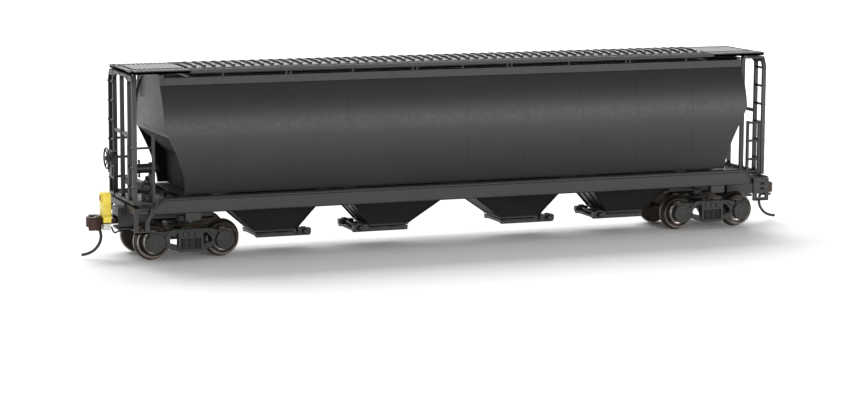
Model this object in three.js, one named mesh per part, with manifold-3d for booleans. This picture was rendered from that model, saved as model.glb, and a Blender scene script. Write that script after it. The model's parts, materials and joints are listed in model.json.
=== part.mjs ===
// An HO scale (1:87.1) model of a cylindrical four-bay covered grain hopper car.
// Millimetres, +Z up, +X along the car, -X the hand brake end, z = 0 under the wheel flanges.
import * as THREE from "three";
import { mergeVertices } from "three/addons/utils/BufferGeometryUtils.js";
import Module from "manifold-3d";

const wasm = await Module();
wasm.setup();

// ---------------------------------------------------------------- driving dimensions
const GAP = 0.3; // between pieces that touch

// track and wheels
const FLANGE_DEPTH = 0.7;
const WHEEL_RADIUS = 4.81;
const WHEEL_Z = WHEEL_RADIUS + FLANGE_DEPTH;
const BACK_TO_BACK = 14.5;
const TYRE_WIDTH = 2.79;
const AXLE_RADIUS = 1.0;
const AXLE_HALF = 11.4;
const WHEELBASE = 20.4;
const TRUCK_X = 83.2;

// tank
const TANK_HALF_LENGTH = 91.9;
const TANK_HALF_WIDTH = 17.6;
const TANK_WIDEST_Z = 35.5;
const TANK_BOTTOM_Z = 19.3;
const TANK_UPPER_RISE = 20.8; // vertical half axis of the ellipse above the widest line
const TANK_LOWER_RISE = 30.0; // and below it
const ROOF_Z = 52.3;
const BAND_Z = 50.2;
const BAND_HALF_WIDTH = 12.6;
const BAND_HALF_LENGTH = 90.6;
const WALL = 1.3;
const END_KNEE_Z = 38.2; // the end sheet turns into the slope sheet here
const END_INSET = 6.3; // the foot of the side sheets is this far inside the end sheet
const WING_THICKNESS = 0.8; // side sheets either side of the hollow under the slope sheet
const BULKHEAD_X = 82.8;
const SLOPE_TOP_Z = 36.4;
const SLOPE_FOOT_Z = 28.4;

// roof
const WALK_HALF_LENGTH = 100.0;
const WALK_HALF_WIDTH = 12.5;
const WALK_Z0 = 53.5;
const WALK_Z1 = 54.6;
const HATCH_HALF_LENGTH = 81.2;
const HATCH_HALF_WIDTH = 6.6;
const HATCH_TOP_Z = 55.1;
const BATTEN_PITCH = 2.9;
const BATTEN_RISE = 0.35;
const WALK_POST_X = [0, 14.3, 15.6, 34.2, 53.1, 54.4, 73.3];

// underframe
const FRAME_HALF_LENGTH = 100.2;
const FRAME_HALF_WIDTH = 16.4;
const SILL_BOTTOM_Z = 14.2;
const SILL_TOP_Z = 19.0;
const END_SILL_TOP_Z = 16.5;
const SILL_THICKNESS = 1.2;

// end cages and ladders
const CAGE_FACE_X = 100.2;
const POST_DEPTH = 1.2;
const POST_WIDTH = 0.8;
const CORNER_Y = 13.4;
const STILE_Y = 8.3;
const CAGE_BOTTOM_Z = END_SILL_TOP_Z + GAP;
const CAGE_TOP_Z = WALK_Z0 - GAP;
const RUNG_Z = [21.6, 27.3, 32.9, 38.5, 44.1, 49.7];
const LOW_RUNGS = 3;
const SIDE_RUNG_Z = [17.6, 21.6, 27.3, 32.9];

// couplers
const COUPLER_Z = 10.6;
const COUPLER_PIVOT_X = 96.0;
const COUPLER_FACE_X = 110.4;
const HEAD_BACK_X = 106.4;
const SHANK_HALF_WIDTH = 0.9;
const SHANK_HALF_HEIGHT = 0.7;
const BOX_FRONT_X = 102.0;
const BOX_BACK_X = 92.3;

// hand brake
const BRAKE_Y = 4.5;
const BRAKE_Z = 28.2;
const BRAKE_WHEEL_RADIUS = 3.2;
const BRAKE_WHEEL_X = -103.2;
const BRAKE_SPOKES = 6;

// ---------------------------------------------------------------- materials
function finish(color, roughness, metalness) {
  return new THREE.MeshStandardMaterial({ color, roughness, metalness });
}
const blackPlastic = () => finish(0x2e2e30, 0.45, 0);
const truckPlastic = () => finish(0x26241f, 0.7, 0);
const bronzedMetal = () => finish(0x5a4638, 0.35, 0.9);
const couplerMetal = () => finish(0x35211d, 0.5, 0.6);
const steel = () => finish(0x9a9a9c, 0.35, 1);
const copperAlloy = () => finish(0xb08040, 0.35, 1);
const yellowPlastic = () => finish(0xf2dc3c, 0.4, 0);
const clearPlastic = () => finish(0xe8e8e4, 0.2, 0);
const redPlastic = () => finish(0xb01818, 0.15, 0);
const boardGreen = () => finish(0x1f5a34, 0.5, 0);
const wireBlack = () => finish(0x1c1c1c, 0.5, 0);

// ---------------------------------------------------------------- solids
function solid(geometry) {
  const bare = geometry.index ? geometry.toNonIndexed() : geometry.clone();
  bare.deleteAttribute("normal");
  bare.deleteAttribute("uv");
  const merged = mergeVertices(bare, 1e-4);
  return new wasm.Manifold(
    new wasm.Mesh({
      numProp: 3,
      vertProperties: merged.attributes.position.array,
      triVerts: new Uint32Array(merged.index.array),
    }),
  );
}

function join(solids) {
  return solids.reduce((sum, next) => sum.add(next));
}

function cut(base, tools) {
  return tools.reduce((left, tool) => left.subtract(tool), base);
}

function box(x0, x1, y0, y1, z0, z1) {
  const block = new THREE.BoxGeometry(x1 - x0, y1 - y0, z1 - z0);
  return solid(block.translate((x0 + x1) / 2, (y0 + y1) / 2, (z0 + z1) / 2));
}

function outline(points) {
  return new THREE.Shape(points.map(([u, v]) => new THREE.Vector2(u, v)));
}

function extruded(shape, depth) {
  return new THREE.ExtrudeGeometry(shape, { depth, bevelEnabled: false });
}

// A plate drawn in plan (X, Y), between two heights.
function planPlate(points, z0, z1) {
  return solid(extruded(outline(points), z1 - z0).translate(0, 0, z0));
}

// A plate drawn in side view (X, Z), between two values of Y.
function sidePlate(points, y0, y1) {
  const plate = extruded(outline(points), y1 - y0).rotateX(Math.PI / 2);
  return solid(plate.translate(0, y1, 0));
}

// A plate drawn in end view (Y, Z), between two values of X.
function endPlate(points, x0, x1) {
  const turn = new THREE.Matrix4().makeBasis(
    new THREE.Vector3(0, 1, 0),
    new THREE.Vector3(0, 0, 1),
    new THREE.Vector3(1, 0, 0),
  );
  return solid(
    extruded(outline(points), x1 - x0)
      .applyMatrix4(turn)
      .translate(x0, 0, 0),
  );
}

// A round bar between two points.
function rod(from, to, radius, sides = 8) {
  const a = new THREE.Vector3(...from);
  const b = new THREE.Vector3(...to);
  const along = b.clone().sub(a);
  const bar = new THREE.CylinderGeometry(radius, radius, along.length(), sides);
  const turn = new THREE.Quaternion().setFromUnitVectors(
    new THREE.Vector3(0, 1, 0),
    along.clone().normalize(),
  );
  bar.applyQuaternion(turn);
  const middle = a.add(b).multiplyScalar(0.5);
  return solid(bar.translate(middle.x, middle.y, middle.z));
}

// A profile of [radius, y] points turned about the Y axis.
function turned(profile, sides) {
  const points = profile.map(([radius, y]) => new THREE.Vector2(radius, y));
  return solid(new THREE.LatheGeometry(points, sides));
}

// A round wire along a smooth curve.
function wire(points, radius, steps, sides) {
  const route = new THREE.CatmullRomCurve3(points.map((p) => new THREE.Vector3(...p)));
  const section = new THREE.Shape();
  for (let i = 0; i < sides; i++) {
    const turn = (i / sides) * 2 * Math.PI;
    const x = radius * Math.cos(turn);
    const y = radius * Math.sin(turn);
    if (i === 0) section.moveTo(x, y);
    else section.lineTo(x, y);
  }
  section.closePath();
  return solid(new THREE.ExtrudeGeometry(section, { steps, extrudePath: route }));
}

function piece(parent, name, shape, material) {
  const data = shape.getMesh();
  const geometry = new THREE.BufferGeometry();
  geometry.setAttribute("position", new THREE.BufferAttribute(data.vertProperties, 3));
  geometry.setIndex(new THREE.BufferAttribute(data.triVerts, 1));
  geometry.computeVertexNormals();
  const mesh = new THREE.Mesh(geometry, material);
  mesh.name = name;
  parent.add(mesh);
  return mesh;
}

// ---------------------------------------------------------------- body
function tankHalfWidth(z) {
  const rise = z > TANK_WIDEST_Z ? TANK_UPPER_RISE : TANK_LOWER_RISE;
  return TANK_HALF_WIDTH * Math.sqrt(1 - ((z - TANK_WIDEST_Z) / rise) ** 2);
}

function tankSection(inset, z0, z1) {
  const right = [];
  const steps = 18;
  for (let i = 0; i <= steps; i++) {
    const z = z0 + ((z1 - z0) * i) / steps;
    const level = THREE.MathUtils.clamp(z, TANK_BOTTOM_Z, BAND_Z);
    right.push([tankHalfWidth(level) - inset, z]);
  }
  const left = right.map(([y, z]) => [-y, z]).reverse();
  return [...right, ...left];
}

// The end of the side sheets curves in below the knee of the end sheet.
function tankEnds() {
  const half = [];
  const steps = 8;
  const drop = END_KNEE_Z - TANK_BOTTOM_Z;
  for (let i = 0; i <= steps; i++) {
    const z = TANK_BOTTOM_Z + (drop * i) / steps;
    const turn = ((END_KNEE_Z - z) / drop) * (Math.PI / 2);
    half.push([TANK_HALF_LENGTH - END_INSET * Math.sin(turn), z]);
  }
  half.push([TANK_HALF_LENGTH, ROOF_Z]);
  return [...half, ...half.map(([u, v]) => [-u, v]).reverse()];
}

// Everything behind the end sheets, slope sheets and bulkheads, set in by a wall.
function betweenBulkheads(inset) {
  const foot = BULKHEAD_X - inset;
  const head = TANK_HALF_LENGTH - inset;
  const half = [
    [foot, TANK_BOTTOM_Z - 2],
    [foot, SLOPE_FOOT_Z - inset / 2],
    [head, SLOPE_TOP_Z - inset / 2],
    [head, ROOF_Z + 1],
  ];
  return [...half, ...half.map(([u, v]) => [-u, v]).reverse()];
}

function bodyShell() {
  const far = TANK_HALF_WIDTH + 1;
  const end = TANK_HALF_LENGTH + 1;
  const tank = endPlate(tankSection(0, TANK_BOTTOM_Z, ROOF_Z), -end, end).intersect(
    sidePlate(tankEnds(), -far, far),
  );
  const core = sidePlate(betweenBulkheads(0), -far, far);
  const below = box(-end, end, -far, far, TANK_BOTTOM_Z - 1, SLOPE_TOP_Z);
  const hollows = endPlate(tankSection(WING_THICKNESS, TANK_BOTTOM_Z - 1, SLOPE_TOP_Z), -end, end)
    .intersect(below)
    .subtract(core);
  const inside = endPlate(
    tankSection(WALL, TANK_BOTTOM_Z - 1, ROOF_Z - WALL),
    -TANK_HALF_LENGTH,
    TANK_HALF_LENGTH,
  ).intersect(sidePlate(betweenBulkheads(WALL), -far, far));
  const bands = [-1, 1].map((side) =>
    box(
      -BAND_HALF_LENGTH,
      BAND_HALF_LENGTH,
      Math.min(side * (BAND_HALF_WIDTH - 1.2), side * BAND_HALF_WIDTH),
      Math.max(side * (BAND_HALF_WIDTH - 1.2), side * BAND_HALF_WIDTH),
      BAND_Z,
      ROOF_Z,
    ),
  );
  // the end sheets reach up to just under the walkway
  const crests = [-TANK_HALF_LENGTH, TANK_HALF_LENGTH - WALL].map((x) =>
    box(x, x + WALL, -BAND_HALF_WIDTH, BAND_HALF_WIDTH, ROOF_Z - 1, WALK_Z0 - GAP),
  );
  return join([cut(tank, [hollows, inside]), ...bands, ...crests]);
}

function roofHatch() {
  const strip = box(
    -HATCH_HALF_LENGTH,
    HATCH_HALF_LENGTH,
    -HATCH_HALF_WIDTH,
    HATCH_HALF_WIDTH,
    ROOF_Z + GAP,
    HATCH_TOP_Z,
  );
  const count = Math.floor((2 * HATCH_HALF_LENGTH) / BATTEN_PITCH);
  const battens = [];
  for (let i = 0; i <= count; i++) {
    const x = (i - count / 2) * BATTEN_PITCH;
    const y = HATCH_HALF_WIDTH - 0.3;
    battens.push(box(x - 0.5, x + 0.5, -y, y, HATCH_TOP_Z - 0.2, HATCH_TOP_Z + BATTEN_RISE));
  }
  return join([strip, ...battens]);
}

function roofWalkway() {
  const outer = box(
    -WALK_HALF_LENGTH,
    WALK_HALF_LENGTH,
    -WALK_HALF_WIDTH,
    WALK_HALF_WIDTH,
    WALK_Z0,
    WALK_Z1,
  );
  const x = HATCH_HALF_LENGTH + 1;
  const y = HATCH_HALF_WIDTH + 1;
  const posts = [];
  for (const side of [-1, 1])
    for (const place of WALK_POST_X)
      for (const end of place === 0 ? [1] : [-1, 1]) {
        const px = place * end;
        const py = side * (WALK_HALF_WIDTH - 0.6);
        posts.push(box(px - 0.35, px + 0.35, py - 0.35, py + 0.35, ROOF_Z + GAP, WALK_Z0 + 0.2));
      }
  return join([cut(outer, [box(-x, x, -y, y, WALK_Z0 - 1, WALK_Z1 + 1)]), ...posts]);
}

// ---------------------------------------------------------------- underframe and hoppers
const PIN_BOSS_Z = 9.6;
const BOLSTER_Z = 12.0;
const DECK_Z0 = 15.6;
const DRAUGHT_SILL_Z = 10.4;
const SCREW_HOLE = 1.1;

function sideSill() {
  const half = [
    [FRAME_HALF_LENGTH, SILL_BOTTOM_Z],
    [FRAME_HALF_LENGTH, END_SILL_TOP_Z],
    [95, END_SILL_TOP_Z],
    [91.8, SILL_TOP_Z],
  ];
  const profile = [...half, ...half.map(([x, z]) => [-x, z]).reverse()];
  return (side) => {
    const outerY = side * FRAME_HALF_WIDTH;
    const innerY = side * (FRAME_HALF_WIDTH - SILL_THICKNESS);
    return sidePlate(profile, Math.min(outerY, innerY), Math.max(outerY, innerY));
  };
}

// One end of the underframe, drawn at the +X end and mirrored by side.
function frameEnd(end) {
  const span = (a, b) => (end > 0 ? [a, b] : [-b, -a]);
  const block = (x0, x1, y0, y1, z0, z1) => box(...span(x0, x1), y0, y1, z0, z1);
  const inner = FRAME_HALF_WIDTH - SILL_THICKNESS;
  const wallY = 3.6;
  const roomY = 2.9;
  const solids = [
    block(99, FRAME_HALF_LENGTH, -FRAME_HALF_WIDTH, FRAME_HALF_WIDTH, SILL_BOTTOM_Z, END_SILL_TOP_Z),
    block(86.5, 99.5, -inner - 0.2, inner + 0.2, DECK_Z0, END_SILL_TOP_Z),
    block(71, 99.5, -2.2, 2.2, 13.2, END_SILL_TOP_Z),
    block(73.5, 93, -2.2, 2.2, DRAUGHT_SILL_Z, 13.5),
    block(80.7, 87, -inner - 0.2, inner + 0.2, BOLSTER_Z + 1.6, SILL_TOP_Z),
    block(81.2, 84.7, -FRAME_HALF_WIDTH + 1, FRAME_HALF_WIDTH - 1, BOLSTER_Z, 14.5),
    block(80.7, 87, -5, 5, BOLSTER_Z, 15),
    rod([end * TRUCK_X, 0, PIN_BOSS_Z], [end * TRUCK_X, 0, 13], 2.6, 16),
    block(BOX_BACK_X, BOX_FRONT_X, -wallY, wallY, 9.3, SILL_BOTTOM_Z + 0.5),
  ];
  const room = block(BOX_BACK_X + 0.7, BOX_FRONT_X + 1, -roomY, roomY, 8, 12.2);
  const post = rod([end * COUPLER_PIVOT_X, 0, 9.3], [end * COUPLER_PIVOT_X, 0, 13], 1.4, 16);
  const holes = [
    rod([end * TRUCK_X, 0, PIN_BOSS_Z - 1], [end * TRUCK_X, 0, 15], SCREW_HOLE, 12),
    rod([end * COUPLER_PIVOT_X, 0, 8], [end * COUPLER_PIVOT_X, 0, 12.4], 0.8, 12),
  ];
  return cut(join([cut(join(solids), [room]), post]), holes);
}

function underframe() {
  const sill = sideSill();
  const inner = FRAME_HALF_WIDTH - SILL_THICKNESS + 0.2;
  const bearers = [
    [-41.2, -37],
    [-1.8, 1.8],
    [37, 41.2],
  ].map(([x0, x1]) => box(x0, x1, -inner, inner, SILL_BOTTOM_Z + 0.6, SILL_TOP_Z));
  return join([sill(-1), sill(1), ...bearers, frameEnd(-1), frameEnd(1)]);
}

const HOPPER_TOP_Z = SILL_TOP_Z - GAP;
const HOPPER_FLANGE_Z = 6.1;
const HOPPER_FLANGE = 0.6;
const HOPPER_HALF_TOP = FRAME_HALF_WIDTH - SILL_THICKNESS - GAP;
const HOPPER_HALF_WAIST = 9.4; // level with the foot of the sills
const HOPPER_HALF_BOTTOM = 6.6;
const GATE_TOP_Z = HOPPER_FLANGE_Z - GAP;
const GATE_BOTTOM_Z = 4.5;
const SHAFT_Z = 5.9;

// Half of the bays, on the +X side. top: the mouth at the sill; foot: the outlet; gate: the outlet frame.
const BAYS = [
  { top: [4.6, 33.2], foot: [15.0, 27.0], gate: [15.0, 32.2] },
  { top: [44.2, 70.4], foot: [50.0, 62.0], gate: [45.4, 62.0] },
];

function hopperBay({ top, foot }) {
  const side = [
    [foot[0], HOPPER_FLANGE_Z],
    [foot[1], HOPPER_FLANGE_Z],
    [foot[1], HOPPER_FLANGE_Z + HOPPER_FLANGE],
    [top[1], SILL_BOTTOM_Z],
    [top[1], HOPPER_TOP_Z],
    [top[0], HOPPER_TOP_Z],
    [top[0], SILL_BOTTOM_Z],
    [foot[0], HOPPER_FLANGE_Z + HOPPER_FLANGE],
  ];
  const half = [
    [HOPPER_HALF_BOTTOM, HOPPER_FLANGE_Z],
    [HOPPER_HALF_BOTTOM, HOPPER_FLANGE_Z + HOPPER_FLANGE],
    [HOPPER_HALF_WAIST, SILL_BOTTOM_Z],
    [HOPPER_HALF_TOP, HOPPER_TOP_Z - 0.7],
    [HOPPER_HALF_TOP, HOPPER_TOP_Z],
  ];
  const across = [...half, ...half.map(([y, z]) => [-y, z]).reverse()];
  const shape = sidePlate(side, -20, 20).intersect(endPlate(across, top[0] - 1, top[1] + 1));
  const hollow = box(
    foot[0] + 2,
    foot[1] - 2,
    -HOPPER_HALF_BOTTOM + 1.5,
    HOPPER_HALF_BOTTOM - 1.5,
    HOPPER_FLANGE_Z + 2,
    HOPPER_TOP_Z + 1,
  );
  return cut(shape, [hollow]);
}

function outletGate({ foot, gate }) {
  const beyond = foot[0] === gate[0] ? [foot[1] + 0.6, gate[1]] : [gate[0], foot[0] - 0.6];
  const middle = foot[0] === gate[0] ? gate[1] - 2 : gate[0] + 2;
  const frame = box(...gate, -HOPPER_HALF_BOTTOM, HOPPER_HALF_BOTTOM, GATE_BOTTOM_Z, GATE_TOP_Z);
  const shaft = rod([middle, -8.0, SHAFT_Z], [middle, 8.0, SHAFT_Z], 0.5, 8);
  const ends = [-1, 1].map((s) => {
    const y = 6.45;
    const housing = box(...beyond, s * y - 0.85, s * y + 0.85, SHAFT_Z - 0.85, SHAFT_Z + 0.85);
    return housing.add(rod([middle, s * 7.0, SHAFT_Z], [middle, s * 8.5, SHAFT_Z], 0.8, 10));
  });
  return join([frame, shaft, ...ends]);
}

// ---------------------------------------------------------------- cages, ladders and steps, drawn at the -X end
function cagePost(y) {
  const x0 = -CAGE_FACE_X;
  const x1 = -CAGE_FACE_X + POST_DEPTH;
  const w = POST_WIDTH / 2;
  if (Math.abs(y) !== CORNER_Y) return box(x0, x1, y - w, y + w, CAGE_BOTTOM_Z, CAGE_TOP_Z);
  const s = Math.sign(y);
  const leaning = [
    [y - s * w, CAGE_BOTTOM_Z],
    [y + s * w, CAGE_BOTTOM_Z],
    [y + s * w, 50.4],
    [s * (WALK_HALF_WIDTH - 0.1), CAGE_TOP_Z],
    [s * (WALK_HALF_WIDTH - 0.9), CAGE_TOP_Z],
    [y - s * w, 50.0],
  ];
  return endPlate(s > 0 ? leaning : leaning.reverse(), x0, x1);
}

function endCage() {
  const x0 = -CAGE_FACE_X;
  const x1 = -CAGE_FACE_X + POST_DEPTH;
  const postX = -TANK_HALF_LENGTH - GAP;
  const postY = 11.9;
  const arch = [
    [-WALK_HALF_WIDTH + 0.5, CAGE_TOP_Z],
    [-WALK_HALF_WIDTH + 0.5, 51.6],
    [-STILE_Y, 51.6],
    [-4.2, 52.4],
    [4.2, 52.4],
    [STILE_Y, 51.6],
    [WALK_HALF_WIDTH - 0.5, 51.6],
    [WALK_HALF_WIDTH - 0.5, CAGE_TOP_Z],
  ];
  const solids = [
    endPlate(arch, x0, x1),
    box(x0, x1, -CORNER_Y, CORNER_Y, CAGE_BOTTOM_Z, CAGE_BOTTOM_Z + 0.9),
    // handhold from the near corner post to the sill post
    box(x0 + 0.4, -93.8, -CORNER_Y - 0.3, -CORNER_Y + 0.3, 32.6, 33.2),
    box(-94.6, -93.8, -CORNER_Y - 0.4, -CORNER_Y + 0.4, CAGE_BOTTOM_Z, 36.6),
    box(x0 + 0.4, -93.8, -CORNER_Y - 0.3, -CORNER_Y + 0.3, CAGE_BOTTOM_Z, CAGE_BOTTOM_Z + 0.6),
    // tie across the posts behind the hand brake
    box(x0 + 0.2, x1 - 0.2, -STILE_Y, STILE_Y, 35.6, 36.6),
    // the other sill post stands closer to the tank, and a bracket hangs above it
    box(x0 + 0.4, postX, postY, postY + 0.7, CAGE_BOTTOM_Z, CAGE_BOTTOM_Z + 0.6),
    box(postX - 0.8, postX, postY, postY + 0.8, CAGE_BOTTOM_Z, 36.4),
    box(x0 + 0.4, postX, postY, postY + 0.8, CAGE_TOP_Z - 0.6, CAGE_TOP_Z),
    box(postX - 0.8, postX, postY, postY + 0.8, 44.7, CAGE_TOP_Z),
  ];
  for (const y of [-CORNER_Y, -STILE_Y, 0, STILE_Y, CORNER_Y]) solids.push(cagePost(y));
  RUNG_Z.forEach((z, i) => {
    const x = -CAGE_FACE_X + POST_DEPTH / 2;
    solids.push(rod([x, STILE_Y, z], [x, CORNER_Y, z], 0.38, 6));
    if (i < LOW_RUNGS) solids.push(rod([x, -CORNER_Y, z], [x, -STILE_Y, z], 0.38, 6));
  });
  return join(solids);
}

function sideLadder() {
  const x0 = -CAGE_FACE_X + POST_DEPTH + GAP;
  const x1 = -94.0;
  const bottom = CAGE_BOTTOM_Z;
  const top = SIDE_RUNG_Z.at(-1) + 0.6;
  const stiles = [x0, x1 - 0.8].map((x) => box(x, x + 0.8, CORNER_Y - 0.4, CORNER_Y + 0.4, bottom, top));
  const rungs = SIDE_RUNG_Z.map((z) => rod([x0 + 0.3, CORNER_Y, z], [x1 - 0.3, CORNER_Y, z], 0.38, 6));
  return join([...stiles, ...rungs]);
}

const STEP_Y0 = FRAME_HALF_WIDTH + GAP;
const STEP_Y1 = STEP_Y0 + 0.7;

function openStep() {
  const strap = [
    [-100.9, 16.2],
    [-100.9, 9.0],
    [-96.4, 9.0],
    [-96.4, 10.6],
    [-96.5, 12.0],
    [-95.9, 13.4],
    [-95.2, 14.6],
    [-95.1, 16.2],
    [-96.2, 16.2],
    [-96.3, 15.0],
    [-97.1, 13.7],
    [-97.6, 12.3],
    [-97.5, 9.9],
    [-99.7, 9.9],
    [-99.7, 16.2],
  ];
  return sidePlate(strap, -STEP_Y1, -STEP_Y0);
}

function plateStep() {
  const plate = box(-100.0, -94.7, STEP_Y0, STEP_Y1, 9.1, 16.2);
  const slots = [
    [-98.9, -96.0, 10.1, 11.5],
    [-98.4, -97.0, 12.4, 13.2],
    [-98.4, -97.0, 14.0, 14.8],
  ].map(([xa, xb, za, zb]) => box(xa, xb, STEP_Y0 - 1, STEP_Y1 + 1, za, zb));
  return cut(plate, slots);
}

// ---------------------------------------------------------------- hand brake and air brake, at the -X end
function brakeHousing() {
  const back = -CAGE_FACE_X - GAP;
  const front = -102.2;
  const side = [
    [2.1, 22.4],
    [6.9, 22.4],
    [7.4, 25.0],
    [7.4, 29.2],
    [6.4, 30.3],
    [2.6, 30.3],
    [1.6, 29.2],
    [1.6, 25.0],
  ];
  const hole = rod([front - 1, BRAKE_Y, BRAKE_Z], [back + 1, BRAKE_Y, BRAKE_Z], 0.9, 12);
  return cut(endPlate(side, front, back), [hole]);
}

function brakeWheel() {
  const solids = [];
  const rim = turned(
    [
      [BRAKE_WHEEL_RADIUS - 0.45, -0.3],
      [BRAKE_WHEEL_RADIUS, -0.3],
      [BRAKE_WHEEL_RADIUS, 0.3],
      [BRAKE_WHEEL_RADIUS - 0.45, 0.3],
      [BRAKE_WHEEL_RADIUS - 0.45, -0.3],
    ],
    20,
  );
  solids.push(rim.rotate([0, 0, 90]).translate([BRAKE_WHEEL_X, 0, 0]));
  for (let i = 0; i < BRAKE_SPOKES; i++) {
    const turn = (i / BRAKE_SPOKES) * 2 * Math.PI;
    const reach = BRAKE_WHEEL_RADIUS - 0.2;
    solids.push(
      rod([BRAKE_WHEEL_X, 0, 0], [BRAKE_WHEEL_X, reach * Math.cos(turn), reach * Math.sin(turn)], 0.22, 6),
    );
  }
  solids.push(rod([-103.7, 0, 0], [-102.5, 0, 0], 0.85, 12));
  solids.push(rod([-103.0, 0, 0], [-100.8, 0, 0], 0.6, 10));
  return join(solids);
}

function brakeCylinder() {
  return join([
    rod([-97.6, -4.6, 26.0], [-90.2, -4.6, 26.0], 1.7, 16),
    rod([-98.4, -4.6, 26.0], [-90.0, -4.6, 26.0], 0.7, 10),
    rod([-96.0, -4.6, 23.4], [-96.0, -4.6, 28.6], 0.5, 8),
    box(-93.2, -92.2, -5.2, -4.0, CAGE_BOTTOM_Z, 25.0),
  ]);
}

function airReservoir() {
  return join([
    rod([-95.4, -10.0, 20.9], [-95.4, 10.0, 20.9], 1.5, 16),
    rod([-95.4, -10.6, 20.9], [-95.4, 10.6, 20.9], 0.9, 12),
    box(-96.0, -94.8, -7.6, -6.6, CAGE_BOTTOM_Z, 20.2),
    box(-96.0, -94.8, 6.6, 7.6, CAGE_BOTTOM_Z, 20.2),
  ]);
}

function controlValve() {
  return join([
    box(-91.9, -89.6, 3.4, 7.0, CAGE_BOTTOM_Z, 21.2),
    rod([-90.8, 5.2, 20.8], [-90.8, 5.2, 22.8], 0.9, 10),
  ]);
}

// ---------------------------------------------------------------- truck, drawn about its own centre
const SIDE_INNER_Y = 10.7;
const SIDE_OUTER_Y = 12.0;
const TRUCK_TOP_Z = 9.1;

function sideFrame(side) {
  const axle = WHEELBASE / 2;
  const half = [
    [5.2, TRUCK_TOP_Z],
    [axle + 1.6, 8.3],
    [axle + 2.6, 7.4],
    [axle + 2.6, 4.6],
    [axle - 2.4, 4.0],
    [3.6, 2.7],
  ];
  const shape = outline([...half.map(([x, z]) => [-x, z]), ...half.reverse()]);
  for (const s of [-1, 1]) {
    const window = new THREE.Path();
    window.moveTo(s * 3.4, 4.3);
    window.lineTo(s * (axle - 3.6), 5.3);
    window.lineTo(s * (axle - 3.6), 6.6);
    window.lineTo(s * 4.9, 7.8);
    window.lineTo(s * 3.4, 7.8);
    window.closePath();
    shape.holes.push(window);
  }
  const plate = extruded(shape, SIDE_OUTER_Y - SIDE_INNER_Y).rotateX(Math.PI / 2);
  const near = solid(plate.translate(0, side > 0 ? SIDE_OUTER_Y : -SIDE_INNER_Y, 0));
  const out = (y) => side * y;
  const bosses = [-axle, axle].map((x) =>
    rod([x, out(SIDE_INNER_Y), WHEEL_Z], [x, out(12.7), WHEEL_Z], 2.9, 16),
  );
  const springs = [-1.9, 0, 1.9].map((x) => rod([x, out(11.7), 3.3], [x, out(11.7), 6.6], 0.75, 8));
  const cups = [-axle, axle].map((x) =>
    rod([x, out(SIDE_INNER_Y - 1), WHEEL_Z], [x, out(AXLE_HALF + GAP), WHEEL_Z], 1.4, 10),
  );
  const springCap = box(-3.0, 3.0, Math.min(out(11.2), out(12.9)), Math.max(out(11.2), out(12.9)), 6.4, 8.9);
  return cut(join([near, ...bosses, ...springs, springCap]), cups);
}

function truckFrame() {
  const bolster = join([
    box(-2.6, 2.6, -SIDE_INNER_Y - 0.3, SIDE_INNER_Y + 0.3, 6.6, 8.6),
    rod([0, 0, 7], [0, 0, PIN_BOSS_Z - GAP], 3.4, 16),
  ]);
  return cut(join([sideFrame(-1), sideFrame(1), bolster]), [rod([0, 0, 5], [0, 0, 11], 1.2, 14)]);
}

function axle() {
  return turned(
    [
      [0, -AXLE_HALF],
      [0.35, -AXLE_HALF],
      [AXLE_RADIUS, -AXLE_HALF + 1.1],
      [AXLE_RADIUS, AXLE_HALF - 1.1],
      [0.35, AXLE_HALF],
      [0, AXLE_HALF],
    ],
    12,
  );
}

function wheel() {
  const back = BACK_TO_BACK / 2;
  const front = back + TYRE_WIDTH;
  const bore = AXLE_RADIUS + GAP;
  return turned(
    [
      [bore, back],
      [WHEEL_Z - 0.35, back],
      [WHEEL_Z, back + 0.35],
      [WHEEL_RADIUS + 0.08, back + 0.8],
      [WHEEL_RADIUS - 0.06, front],
      [WHEEL_RADIUS - 0.8, front],
      [WHEEL_RADIUS - 1.3, front - 0.9],
      [2.2, front - 0.9],
      [1.9, front - 0.2],
      [bore, front - 0.2],
      [bore, back],
    ],
    24,
  );
}

function truckScrew() {
  return join([
    rod([0, 0, 6.0], [0, 0, 14.2], 0.8, 12),
    rod([0, 0, 5.2], [0, 0, 6.3], 1.9, 16),
  ]);
}

function pickupWiper() {
  const strip = [
    [-WHEELBASE / 2 - 1.5, 7.3],
    [-WHEELBASE / 2, 6.85],
    [-7.2, 8.6],
    [-4.4, 9.0],
    [-4.4, 9.25],
    [-7.3, 8.85],
    [-WHEELBASE / 2, 7.1],
    [-WHEELBASE / 2 - 1.4, 7.55],
  ];
  const left = sidePlate(strip.slice().reverse(), -4.6, -3.9);
  const right = sidePlate(strip.map(([x, z]) => [-x, z]), -4.6, -3.9);
  const bridge = box(-4.6, 4.6, -4.6, -3.9, 8.95, 9.2);
  return join([left, right, bridge]);
}

// ---------------------------------------------------------------- coupler, drawn at the -X end
const PIN_X = -107.05;
const PIN_RADIUS = 0.43;

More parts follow.
